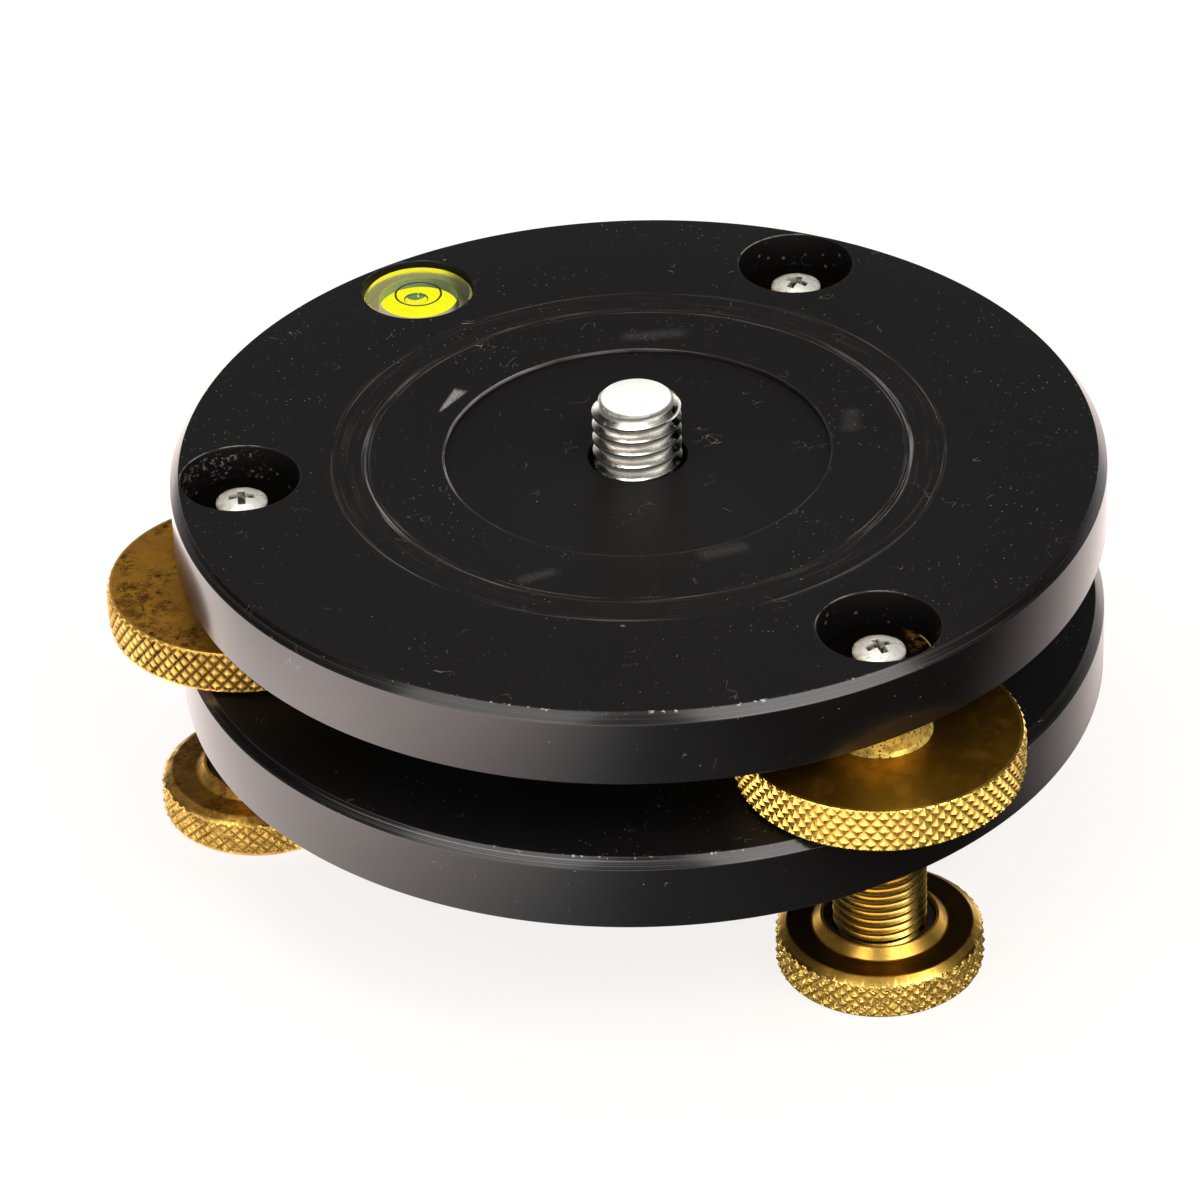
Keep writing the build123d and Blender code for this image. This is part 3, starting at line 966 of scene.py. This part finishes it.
class HEAD_OT_upper_plate(bpy.types.Operator):
    """Upper plate with its recess, access holes, ball sockets and pocket"""

    bl_idname = "head.upper_plate"
    bl_label = "Upper plate"
    bl_options = {"REGISTER", "UNDO"}

    def execute(self, context):
        s = sizes()
        bottom, top = UPPER_BOTTOM, UPPER_TOP
        head_sunk = 0.2 * MM
        seat_z = bottom + head_sunk
        floor = top - s.recess_depth
        profile = rounded_loop([
            (STUD_HEAD_R, bottom),
            *plate_rim(s, bottom, top),
            (s.recess_r, top),
            (s.recess_r, floor),
            (s.stud_hole_r, floor),
            (s.stud_hole_r, seat_z + STUD_HEAD_R - s.stud_hole_r),
            (STUD_HEAD_R, seat_z),
        ], s.edge_round)
        blank = turned("upper_plate_skin", profile, columns=PLATE_ROUND, closed=True)
        level = middle("vial_body")
        cutters = [self.socket(s, CENTRE[name]) for name in CORNERS]
        cutters.append(turned("pocket", self.hole(s.pocket_r, span("vial_body")[0]), level))
        mouths = [(CENTRE[name], s.access_r / MM, 0.8) for name in CORNERS]
        mouths.append((level, s.pocket_r / MM, 0.25))
        material = anodised("anodised_upper", top / MM, s.recess_r / MM, mouths)
        plate = less(blank, cutters)
        add_piece("upper_plate_skin", plate, "top", material, ["upper_plate"])
        return {"FINISHED"}

    def hole(self, radius, floor):
        """Profile of a hole from its floor up through the top, flared at the mouth."""
        return [
            (PIN_R, floor),
            (radius, floor),
            (radius, UPPER_TOP - FLARE),
            (radius + FLARE + OVER, UPPER_TOP + OVER),
        ]

    def socket(self, s, centre):
        """Ball socket below the web and access hole above it, as one cutter."""
        ball_z = UPPER_BOTTOM - s.ball_below
        web_z = span("cushion_washer_right")[0] - s.web_below
        below = 1.5 * MM
        rise = np.linspace(UPPER_BOTTOM - below, web_z, 24)
        bowl = np.stack([np.sqrt(s.socket_r ** 2 - (rise - ball_z) ** 2), rise], 1)
        return turned("socket", np.vstack([bowl, self.hole(s.access_r, web_z)[1:]]), centre)


class HEAD_OT_lower_plate(bpy.types.Operator):
    """Lower plate and its tripod thread"""

    bl_idname = "head.lower_plate"
    bl_label = "Lower plate"
    bl_options = {"REGISTER", "UNDO"}

    def execute(self, context):
        s = sizes()
        bottom, top = LOWER_BOTTOM, LOWER_TOP
        profile = rounded_loop([
            (s.stud_r + MOUTH, bottom),
            *plate_rim(s, bottom, top),
            (s.stud_r + MOUTH, top),
            (s.stud_r, top - MOUTH),
            (s.stud_r, bottom + MOUTH),
        ], s.edge_round)
        blank = turned("lower_plate_skin", profile, columns=PLATE_ROUND, closed=True)
        through = [(BORE_R, bottom - OVER), (BORE_R, top + OVER)]
        cutters = [turned("screw_hole", through, CENTRE[name], MEDIUM_ROUND) for name in CORNERS]
        plate = less(blank, cutters)
        material = anodised("anodised_lower", top / MM, grooved=0.35)
        add_piece("lower_plate_skin", plate, "base", material, ["lower_plate"])
        self.tripod_thread(s, material)
        return {"FINISHED"}

    def tripod_thread(self, s, material):
        """Nut-shaped liner: the stud's thread form turned inside out, in a plain tube."""
        low, high = LOWER_BOTTOM + MOUTH, LOWER_TOP - MOUTH
        wall = 0.02 * MM
        radius, z, angle = thread_rows(low, high, s.stud_pitch, s.stud_r, s.stud_depth, SMALL_ROUND)
        tube = rings(s.stud_r + wall, np.array([[low], [high]]), angle)
        grid = np.vstack([tube, rings(radius, z, angle)[::-1]])
        mesh = welded(skin("tripod_thread", grid, closed=True, joined=False))
        add_piece("tripod_thread", mesh, "base", material)


class HEAD_OT_camera_stud(bpy.types.Operator):
    """Camera stud: thread, plain shank and countersunk head with a hexagon socket"""

    bl_idname = "head.camera_stud"
    bl_label = "Camera stud"
    bl_options = {"REGISTER", "UNDO"}

    def execute(self, context):
        s = sizes()
        bottom, top = span("camera_stud")
        tip_r, tip_h, crown_h = 3.75 * MM, 1.0 * MM, 0.42 * MM
        thread_below, start_slope, start_turn = 1 * MM, 1.2, radians(319.6)
        start, end = UPPER_TOP - s.recess_depth - thread_below, top - crown_h

        def limit(z):
            """Outline of the stud's end and of the thread's start."""
            tip = tip_r + (end - z) * (s.stud_r - tip_r) / tip_h
            foot = s.stud_shank_r + (z - start) * start_slope
            return np.minimum(np.minimum(tip, foot), s.stud_r)

        below = rounded([
            (TIP_R, bottom),
            (STUD_HEAD_R, bottom),
            (s.stud_shank_r, bottom + STUD_HEAD_R - s.stud_shank_r),
            (s.stud_shank_r, start),
        ], s.edge_round)
        across = np.linspace(1, 0.08, 12)
        dome = np.stack([across * tip_r, top - crown_h * across ** 3], 1)
        thread = thread_rows(start, end, s.stud_pitch, s.stud_r, s.stud_depth, MEDIUM_ROUND, limit)
        blank = threaded("camera_stud_skin", thread, below=below, above=dome, start=start_turn)
        socket_r, socket_h = 3.46 * MM, 3.6 * MM
        hexagon = turned("hexagon", [(socket_r, bottom - OVER), (socket_r, bottom + socket_h)], columns=6)
        mesh = less(blank, [hexagon])
        material = zinc_stud("zinc_stud", top / MM, (s.stud_r - s.stud_depth) / MM)
        add_piece("camera_stud_skin", mesh, "top", material, ["camera_stud"], crease=40)
        return {"FINISHED"}


class HEAD_OT_levelling_screws(bpy.types.Operator):
    """Three levelling screws: thread, thumbwheel seat, neck and pilot"""

    bl_idname = "head.levelling_screws"
    bl_label = "Levelling screws"
    bl_options = {"REGISTER", "UNDO"}

    def execute(self, context):
        s = sizes()
        root = s.screw_r - s.screw_depth
        fillet, chamfer = 0.4 * MM, 0.7 * MM
        for _, name, node, bottom, top, _ in corner_nodes("levelling_screw"):
            seat, shoulder = span("thumbwheel_" + name)
            neck_top = span("ball_seat_" + name)[0]

            def limit(z):
                """Chamfer at the screw's foot."""
                return np.minimum(s.screw_r, s.screw_r - chamfer + (z - bottom))

            above = rounded([
                (root, seat),
                (BORE_R, seat),
                (BORE_R, shoulder),
                (s.neck_r + fillet, shoulder),
                (s.neck_r, shoulder + fillet),
                (s.neck_r, neck_top),
                (s.pilot_r, neck_top),
                (s.pilot_r, top),
                (TIP_R, top),
            ], s.edge_round)
            thread = thread_rows(bottom, seat, s.screw_pitch, s.screw_r, s.screw_depth, SMALL_ROUND, limit)
            mesh = threaded("levelling_screw_skin_" + name, thread, CENTRE[name], above=above)
            material = brass(
                "brass_screw_" + name, name, tarnish_of(name) * 0.4, s.screw_r / MM, root / MM, 0.6,
                roots=0.95, reach=0.25,
            )
            add_piece(mesh.name, mesh, "screw_" + name, material, [node], crease=40)
        return {"FINISHED"}


class HEAD_OT_thumbwheels(bpy.types.Operator):
    """Three thumbwheels with diamond knurled rims"""

    bl_idname = "head.thumbwheels"
    bl_label = "Thumbwheels"
    bl_options = {"REGISTER", "UNDO"}

    def execute(self, context):
        s = sizes()
        step, blunt = 0.02 * MM, 0.10
        for seed, name, node, bottom, top, rim in corner_nodes("thumbwheel"):
            radius, z, slant = knurl(s, rim, bottom, top, blunt, seed)
            radius = np.minimum(radius, rim - s.thumb_chamfer + np.minimum(z - bottom, top - z))
            above = [(radius[-1].min() - step, top), (BORE_R, top)]
            below = [(BORE_R, bottom), (radius[0].min() - step, bottom)]
            mesh = knurled("thumbwheel_skin_" + name, (radius, z, slant), CENTRE[name], above, below)
            tarnish = tarnish_of(name)
            # face: radii and strength of the face's painted shade, and how much a painted bright streak in
            # front of the neck leaves out
            face = (s.neck_r / MM + 0.1, rim / MM - 0.6, 0.80 - tarnish * 1.1, 0.5)
            material = brass(
                "brass_thumb_" + name, name, tarnish, rim / MM, (rim - s.knurl_depth) / MM,
                min(tarnish * 1.4, 1.0), (bottom / MM, top / MM), face, 1.0,
                roots=0.22 + tarnish * 0.9, reach=0.3 + tarnish * 0.6,
            )
            add_piece(mesh.name, mesh, "screw_" + name, material, [node], crease=22)
        return {"FINISHED"}


class HEAD_OT_lock_wheels(bpy.types.Operator):
    """Three lock wheels, each with a coned collar, a knurled band and a friction ring"""

    bl_idname = "head.lock_wheels"
    bl_label = "Lock wheels"
    bl_options = {"REGISTER", "UNDO"}

    def execute(self, context):
        s = sizes()
        rubber = moulded("black_rubber_ring", (0.014, 0.013, 0.013), 0.6)
        collar_h, collar_foot_r, collar_top_r = 1.05 * MM, 7.1 * MM, 6.25 * MM
        mouth_r, mouth_h = 6 * MM, 2.4 * MM
        bevel_w, bevel_h, foot = 1.25 * MM, 0.90 * MM, 0.7 * MM
        wall_top, wall_foot = 3 * MM, 1 * MM
        blunt, rough, uneven, first_seed = 0.42, 0.06, 0.8, 10
        for number, name, node, low, top, rim in corner_nodes("lock_wheel"):
            flat = top - collar_h
            knurl_top, knurl_bottom = flat - bevel_h, low + foot
            band_top = knurl_top + s.knurl_depth * bevel_h / bevel_w
            band_bottom = knurl_bottom - s.knurl_depth
            seed = first_seed + number
            radius, z, slant = knurl(s, rim, band_bottom, band_top, blunt, seed, rough, uneven)
            cone = rim - (z - knurl_top) * bevel_w / bevel_h
            radius = np.minimum(np.minimum(radius, cone), rim - (knurl_bottom - z))
            above = rounded([
                (rim - s.knurl_depth, band_top),
                (rim - bevel_w, flat),
                (collar_foot_r, flat),
                (collar_top_r, top),
                (mouth_r, top),
                (mouth_r, top - mouth_h),
                (BORE_R, top - mouth_h),
                (BORE_R, top - wall_top),
            ], s.edge_round)[1:]
            below = rounded([
                (BORE_R, low + wall_foot),
                (BORE_R, low),
                (rim - foot, low),
                (rim - s.knurl_depth, band_bottom),
            ], s.edge_round)[:-1]
            mesh = knurled("lock_wheel_skin_" + name, (radius, z, slant), CENTRE[name], above, below)
            tarnish = tarnish_of(name)
            # face: radii and strength of the painted shade on the flat, with no painted streak
            face = (collar_foot_r / MM + 0.05, (rim - bevel_w) / MM, 1.1 - tarnish * 0.8, 0.0)
            material = brass(
                "brass_lock_" + name, name, tarnish, rim / MM, (rim - s.knurl_depth) / MM,
                min(tarnish * 1.4, 1.0) * 0.8, (band_bottom / MM, band_top / MM), face, 0.6,
            )
            add_piece(mesh.name, mesh, "lock_" + name, material, [node], crease=22)
            self.ring(name, rubber)
        return {"FINISHED"}

    def ring(self, name, material):
        """Black ring in the mouth of the collar."""
        node = "lock_ring_" + name
        bottom, top = span(node)
        outer = widest(node)
        soft = 0.25 * MM
        profile = rounded_loop([(BORE_R, bottom), (outer, bottom), (outer, top), (BORE_R, top)], soft)
        mesh = turned("lock_ring_skin_" + name, profile, CENTRE[name], MEDIUM_ROUND, closed=True)
        add_piece(mesh.name, mesh, "ring_" + name, material, [node], crease=40)


class HEAD_OT_retainers(bpy.types.Operator):
    """Retaining caps and pan head screws over the ball seats"""

    bl_idname = "head.retainers"
    bl_label = "Caps and retaining screws"
    bl_options = {"REGISTER", "UNDO"}

    def execute(self, context):
        s = sizes()
        bore, rim_w, cone_w, sunk = 1.6 * MM, 0.7 * MM, 2.1 * MM, 0.7 * MM
        first_turn, turn_step = 20, 35
        for number, name, node, bottom, top, rim in corner_nodes("retaining_cap"):
            profile = rounded_loop([
                (bore, bottom),
                (rim, bottom),
                (rim, top),
                (rim - rim_w, top),
                (rim - cone_w, top - sunk),
                (bore, top - sunk),
            ], s.edge_round)
            cap = turned("retaining_cap_skin_" + name, profile, CENTRE[name], MEDIUM_ROUND, closed=True)
            # only the right cap gets the painted highlight
            material = cap_in_painted_shade("brass_cap_" + name, name, rim / MM, 1.0 if name == "right" else 0.0)
            add_piece(cap.name, cap, "screw_" + name, material, [node], crease=40)
            self.screw(name, top - sunk, radians(first_turn + turn_step * number))
        return {"FINISHED"}

    def screw(self, name, floor, turn):
        """Pan head, the cap of a ball on a short side, with its cross and plain shank."""
        centre = CENTRE[name]
        foot, crown = span("retaining_screw_" + name)
        half, side, shank_r, edge, pole_r = 2.75 * MM, 1.25 * MM, 1.5 * MM, 0.05 * MM, 0.15 * MM
        rise = crown - floor - side
        ball = (half * half + rise * rise) / (2 * rise)
        across = np.linspace(half, pole_r, 14)
        dome = np.stack([across, crown - ball + np.sqrt(ball * ball - across * across)], 1)
        below = [(TIP_R, foot), (shank_r, foot), (shank_r, floor), (half - edge, floor), (half, floor + edge)]
        skin_name = "retaining_screw_skin_" + name
        blank = turned(skin_name, np.vstack([below, dome]), centre, SMALL_ROUND)
        mesh = less(blank, [self.blade(centre, crown, turn), self.blade(centre, crown, turn + pi / 2)])
        material = zinc_head("zinc_screw_" + name, centre, crown / MM)
        nodes = ["retaining_screw_" + name]
        add_piece(skin_name, mesh, "screw_" + name, material, nodes, crease=30)

    def blade(self, centre, crown, turn):
        """One arm of the cross: a slab with leaning ends, as a loft of three rectangles
        of half length, half width and height above the crown, in millimetres."""
        rows = np.array([(0.85, 0.30, -1.3), (1.48, 0.42, -0.1), (1.54, 0.44, 0.5)]) * MM
        x = rows[:, :1] * np.array([1, -1, -1, 1])
        y = rows[:, 1:2] * np.array([1, 1, -1, -1])
        z = np.repeat(crown + rows[:, 2:], 4, 1)
        spun_x = centre[0] + x * cos(turn) - y * sin(turn)
        spun_y = centre[1] + x * sin(turn) + y * cos(turn)
        return skin("blade", np.stack([spun_x, spun_y, z], -1))


class HEAD_OT_seats(bpy.types.Operator):
    """Materials for the ball seats and cushion washers, whose solids stay in view"""

    bl_idname = "head.seats"
    bl_label = "Ball seats and washers"
    bl_options = {"REGISTER", "UNDO"}

    def execute(self, context):
        acetal = moulded("black_acetal_turned", (0.02, 0.02, 0.02), 0.4)
        nylon = moulded("white_nylon_moulded", (0.74, 0.72, 0.66), 0.5)
        for name in CORNERS:
            dress("ball_seat_" + name, acetal)
            dress("cushion_washer_" + name, nylon)
        return {"FINISHED"}


class HEAD_OT_level(bpy.types.Operator):
    """Bullseye level: clear body, plug, tinted liquid, bubble and ring"""

    bl_idname = "head.level"
    bl_label = "Level"
    bl_options = {"REGISTER", "UNDO"}

    def execute(self, context):
        s = sizes()
        centre = middle("vial_body")
        bottom, top = span("vial_body")
        gap, bevel = 0.03 * MM, 0.3 * MM
        bottom += gap
        outer, cell = widest("vial_body"), widest("vial_plug")
        low, plug_top = span("vial_plug")
        edge = top - LENS_DEPTH - LENS_RISE
        across = np.linspace(cell, PIN_R, 20)
        dome = np.stack([across, edge + LENS_RISE * (1 - (across / cell) ** 2)], 1)
        shell = rounded([
            (cell, bottom),
            (outer, bottom),
            (outer, top - bevel),
            (outer - bevel, top),
            (PIN_R, top),
        ], s.edge_round)
        body = turned("vial_body_skin", np.vstack([shell, dome[::-1]]), centre, closed=True)
        here = (centre.x, centre.y, top)
        depths = (top - bottom) / MM, (top - plug_top) / MM
        clear = acrylic("clear_acrylic_body", here, outer / MM, cell / MM, *depths)
        add_piece("vial_body_skin", body, "top", clear, ["vial_body"], crease=30)
        disc = rounded([(PIN_R, low), (cell, low), (cell, plug_top), (PIN_R, plug_top)], s.edge_round)
        plug = turned("vial_plug_skin", disc, centre, SMALL_ROUND)
        lit = glowing("lit_plug", finish().plug, 0.45)
        add_piece("vial_plug_skin", plug, "top", lit, ["vial_plug"], crease=30)
        self.liquid(here, plug_top, edge, cell, dome)
        self.hoop(centre, top)
        return {"FINISHED"}

    def liquid(self, here, low, edge, cell, dome):
        """Liquid up to the lens, less the bubble, which is a lens-shaped hollow."""
        lap = 0.015 * MM
        side = [(PIN_R, low), (cell + lap, low), (cell + lap, edge)]
        blank = turned("vial_liquid_skin", np.vstack([side, dome + [0, lap]]), here, MEDIUM_ROUND)
        shift = (-0.28, -0.45)
        half, deep = 1.38 * MM, 0.7 * MM
        ball = (half * half + deep * deep) / (2 * deep)
        ball_z = dome[:, 1].max() - deep + ball
        end = 0.5 * pi - 0.02
        turn = np.linspace(-end, end, 40)
        section = np.stack([ball * np.cos(turn), ball_z + ball * np.sin(turn)], 1)
        middle_of = (here[0] + shift[0] * MM, here[1] + shift[1] * MM)
        bubble = turned("bubble", section, middle_of, SMALL_ROUND)
        tint = level_liquid("level_liquid_tint", here, cell / MM, shift, half / MM)
        mesh = less(blank, [bubble])
        add_piece("vial_liquid_skin", mesh, "top", tint, ["vial_liquid"], crease=30)

    def hoop(self, centre, top):
        """Ring that the bubble is read against: an oval wire round the axis, under the
        top face."""
        radius, wire, deep = 2.55 * MM, 0.12 * MM, 0.16 * MM
        around = np.linspace(0, 2 * pi, 12, endpoint=False)
        section = np.stack([radius + wire * np.cos(around), top - deep + wire * 0.5 * np.sin(around)], 1)
        hoop = turned("vial_ring", section, centre, MEDIUM_ROUND, closed=True)
        ink = moulded("printed_ring", (0.03, 0.05, 0.0), 0.5)
        add_piece("vial_ring", hoop, "top", ink, crease=60)


# Lamps: name, place, width and height in metres, and power in watts
LAMPS = (
    ("key", (-0.10, 0.05, 0.88), 0.50, 0.50, 3.8),
    ("front_right", (0.40, -0.46, 0.73), 0.65, 0.40, 4.4),
    ("front_left", (-0.44, -0.42, 0.73), 0.55, 0.40, 2.2),
)


class HEAD_OT_stage(bpy.types.Operator):
    """Floor, lights, world and camera"""

    bl_idname = "head.stage"
    bl_label = "Stage"
    bl_options = {"REGISTER", "UNDO"}

    def execute(self, context):
        scene = bpy.context.scene
        scene.view_settings.view_transform = "Standard"
        self.floor()
        self.world(scene)
        for settings in LAMPS:
            self.lamp(*settings)
        self.camera(scene)
        return {"FINISHED"}

    def floor(self):
        """Pale floor that the camera sees as nearly white, with the object's shadow on it and a painted warm
        shade near the head; in reflections it shows painted pools of light.
        """
        low = min(span("lock_wheel_" + name)[0] for name in CORNERS)
        half = 4.0
        corners = np.array([(-half, -half, low), (half, -half, low), (half, half, low), (-half, half, low)])
        mesh = to_mesh("floor", corners, [np.array([[0, 1, 2, 3]])])
        paint = Paint("pale_floor")
        x, y, z = paint.parts(paint.place())
        rays = ("Is Camera Ray", "Is Glossy Ray", "Is Transmission Ray")
        seen, mirrored, through = [paint.node("ShaderNodeLightPath", output=ray) for ray in rays]
        factor = ((seen + through) * 0.82 + mirrored).capped()
        # painted warm shade: the floor that the camera sees is tinted warm near the head
        near = paint.reach(x - 5.0, y + 30.0).fade(105.0, 45.0)
        warm = paint.mix(near * seen, (1.0, 1.0, 1.0), (1.0, 0.975, 0.95))
        # painted light for reflections: the floor is tinted away from the middle, dark near it and bright at
        # the left, right and back
        tone = paint.mix(mirrored * abs(x).fade(20.0, 60.0), warm, (1.0, 0.865, 0.82))
        left = x.fade(0.0, -100.0) * (1 - y.fade(-50.0, 10.0) * 0.45) * 4.5
        right = x.fade(40.0, 65.0) * y.fade(-55.0, 40.0) * 1.7
        bright = left + right + x.fade(45.0, -5.0) * 0.2 + y.fade(45.0, 90.0) * 0.6
        matt = paint.node("ShaderNodeBsdfDiffuse", None, {"Color": (0.97, 0.94, 0.90, 1)})
        strength = mirrored * (bright - 1.06) + 1.06
        white = paint.node("ShaderNodeEmission", None, {"Color": tone, "Strength": strength})
        paint.output(paint.node("ShaderNodeMixShader", None, {0: factor, 1: matt, 2: white}))
        mesh.materials.append(paint.owner)
        floor = bpy.data.objects.new("floor", mesh)
        bpy.context.scene.collection.objects.link(floor)

    def world(self, scene):
        """White to the camera; a plain soft light for everything else."""
        paint = Paint("studio", bpy.data.worlds)
        seen = paint.node("ShaderNodeLightPath", output="Is Camera Ray")
        x, y, z = paint.parts(paint.node("ShaderNodeTexCoord", output="Generated"))
        behind = y.fade(-0.2, 0.3)
        strength = 0.95 - z.fade(0.04, 0.32) * (0.72 + abs(x).fade(0.2, 0.7) * 0.18 + behind * 0.08)
        strength = strength * (1 - x.fade(-0.40, -0.60) * behind * z.fade(0.01, 0.09) * 0.75)
        strength = strength + y.fade(-0.2, -0.7) * z.fade(0.50, 0.15) * 2.0
        soft = paint.node("ShaderNodeBackground", None, {"Color": (1, 1, 1, 1), "Strength": strength})
        white = paint.node("ShaderNodeBackground", None, {"Color": (1, 1, 1, 1), "Strength": 1.0})
        both = paint.node("ShaderNodeMixShader", None, {0: seen, 1: soft, 2: white})
        scene.world = paint.output(both, "ShaderNodeOutputWorld")

    def lamp(self, name, place, width, height, power):
        """Soft, slightly warm rectangular lamp that faces the head."""
        data = bpy.data.lights.new(name, "AREA")
        data.shape = "RECTANGLE"
        data.size = width
        data.size_y = height
        data.energy = power
        data.color = (1.0, 0.985, 0.96)
        lamp = bpy.data.objects.new(name, data)
        lamp.location = place
        lamp.rotation_euler = (-Vector(place)).to_track_quat("-Z", "Y").to_euler()
        bpy.context.scene.collection.objects.link(lamp)

    def camera(self, scene):
        """Camera at the photograph's place, looking down at the plates."""
        place = Vector((-0.0401, -0.5212, 0.3548))
        yaw, pitch, roll = radians(-3.9), radians(33.63), radians(-1.99)
        right = Vector((cos(yaw), sin(yaw), 0))
        level = Vector((-sin(yaw), cos(yaw), 0))
        upright = Vector((0, 0, 1))
        forward = cos(pitch) * level - sin(pitch) * upright
        up = sin(pitch) * level + cos(pitch) * upright
        across = cos(roll) * right + sin(roll) * up
        above = cos(roll) * up - sin(roll) * right
        data = bpy.data.cameras.new("camera")
        data.sensor_width = 36
        data.lens = 173.57
        data.clip_start = 0.01
        camera = bpy.data.objects.new("camera", data)
        turn = Matrix((across, above, -forward)).transposed().to_4x4()
        camera.matrix_world = Matrix.Translation(place) @ turn
        scene.collection.objects.link(camera)
        scene.camera = camera


class HEAD_PT_panel(bpy.types.Panel):
    """Buttons and settings of the levelling head"""

    bl_idname = "HEAD_PT_panel"
    bl_label = "Levelling Head"
    bl_space_type = "VIEW_3D"
    bl_region_type = "UI"
    bl_category = "Levelling Head"

    def draw(self, context):
        for operator in OPERATORS:
            self.layout.operator(operator.bl_idname)
        for group in (context.scene.head_sizes, context.scene.head_finish):
            box = self.layout.box()
            for key in group.__annotations__:
                box.prop(group, key)


OPERATORS = (
    HEAD_OT_stage,
    HEAD_OT_upper_plate,
    HEAD_OT_lower_plate,
    HEAD_OT_camera_stud,
    HEAD_OT_levelling_screws,
    HEAD_OT_thumbwheels,
    HEAD_OT_lock_wheels,
    HEAD_OT_retainers,
    HEAD_OT_seats,
    HEAD_OT_level,
)
CLASSES = (HeadSizes, HeadFinish) + OPERATORS + (HEAD_PT_panel,)


def register():
    for item in CLASSES:
        bpy.utils.register_class(item)
    bpy.types.Scene.head_sizes = bpy.props.PointerProperty(type=HeadSizes)
    bpy.types.Scene.head_finish = bpy.props.PointerProperty(type=HeadFinish)


def unregister():
    del bpy.types.Scene.head_finish
    del bpy.types.Scene.head_sizes
    for item in reversed(CLASSES):
        bpy.utils.unregister_class(item)


def main():
    register()
    for operator in OPERATORS:
        getattr(bpy.ops.head, operator.bl_idname.split(".")[1])()


if __name__ == "__main__":
    main()
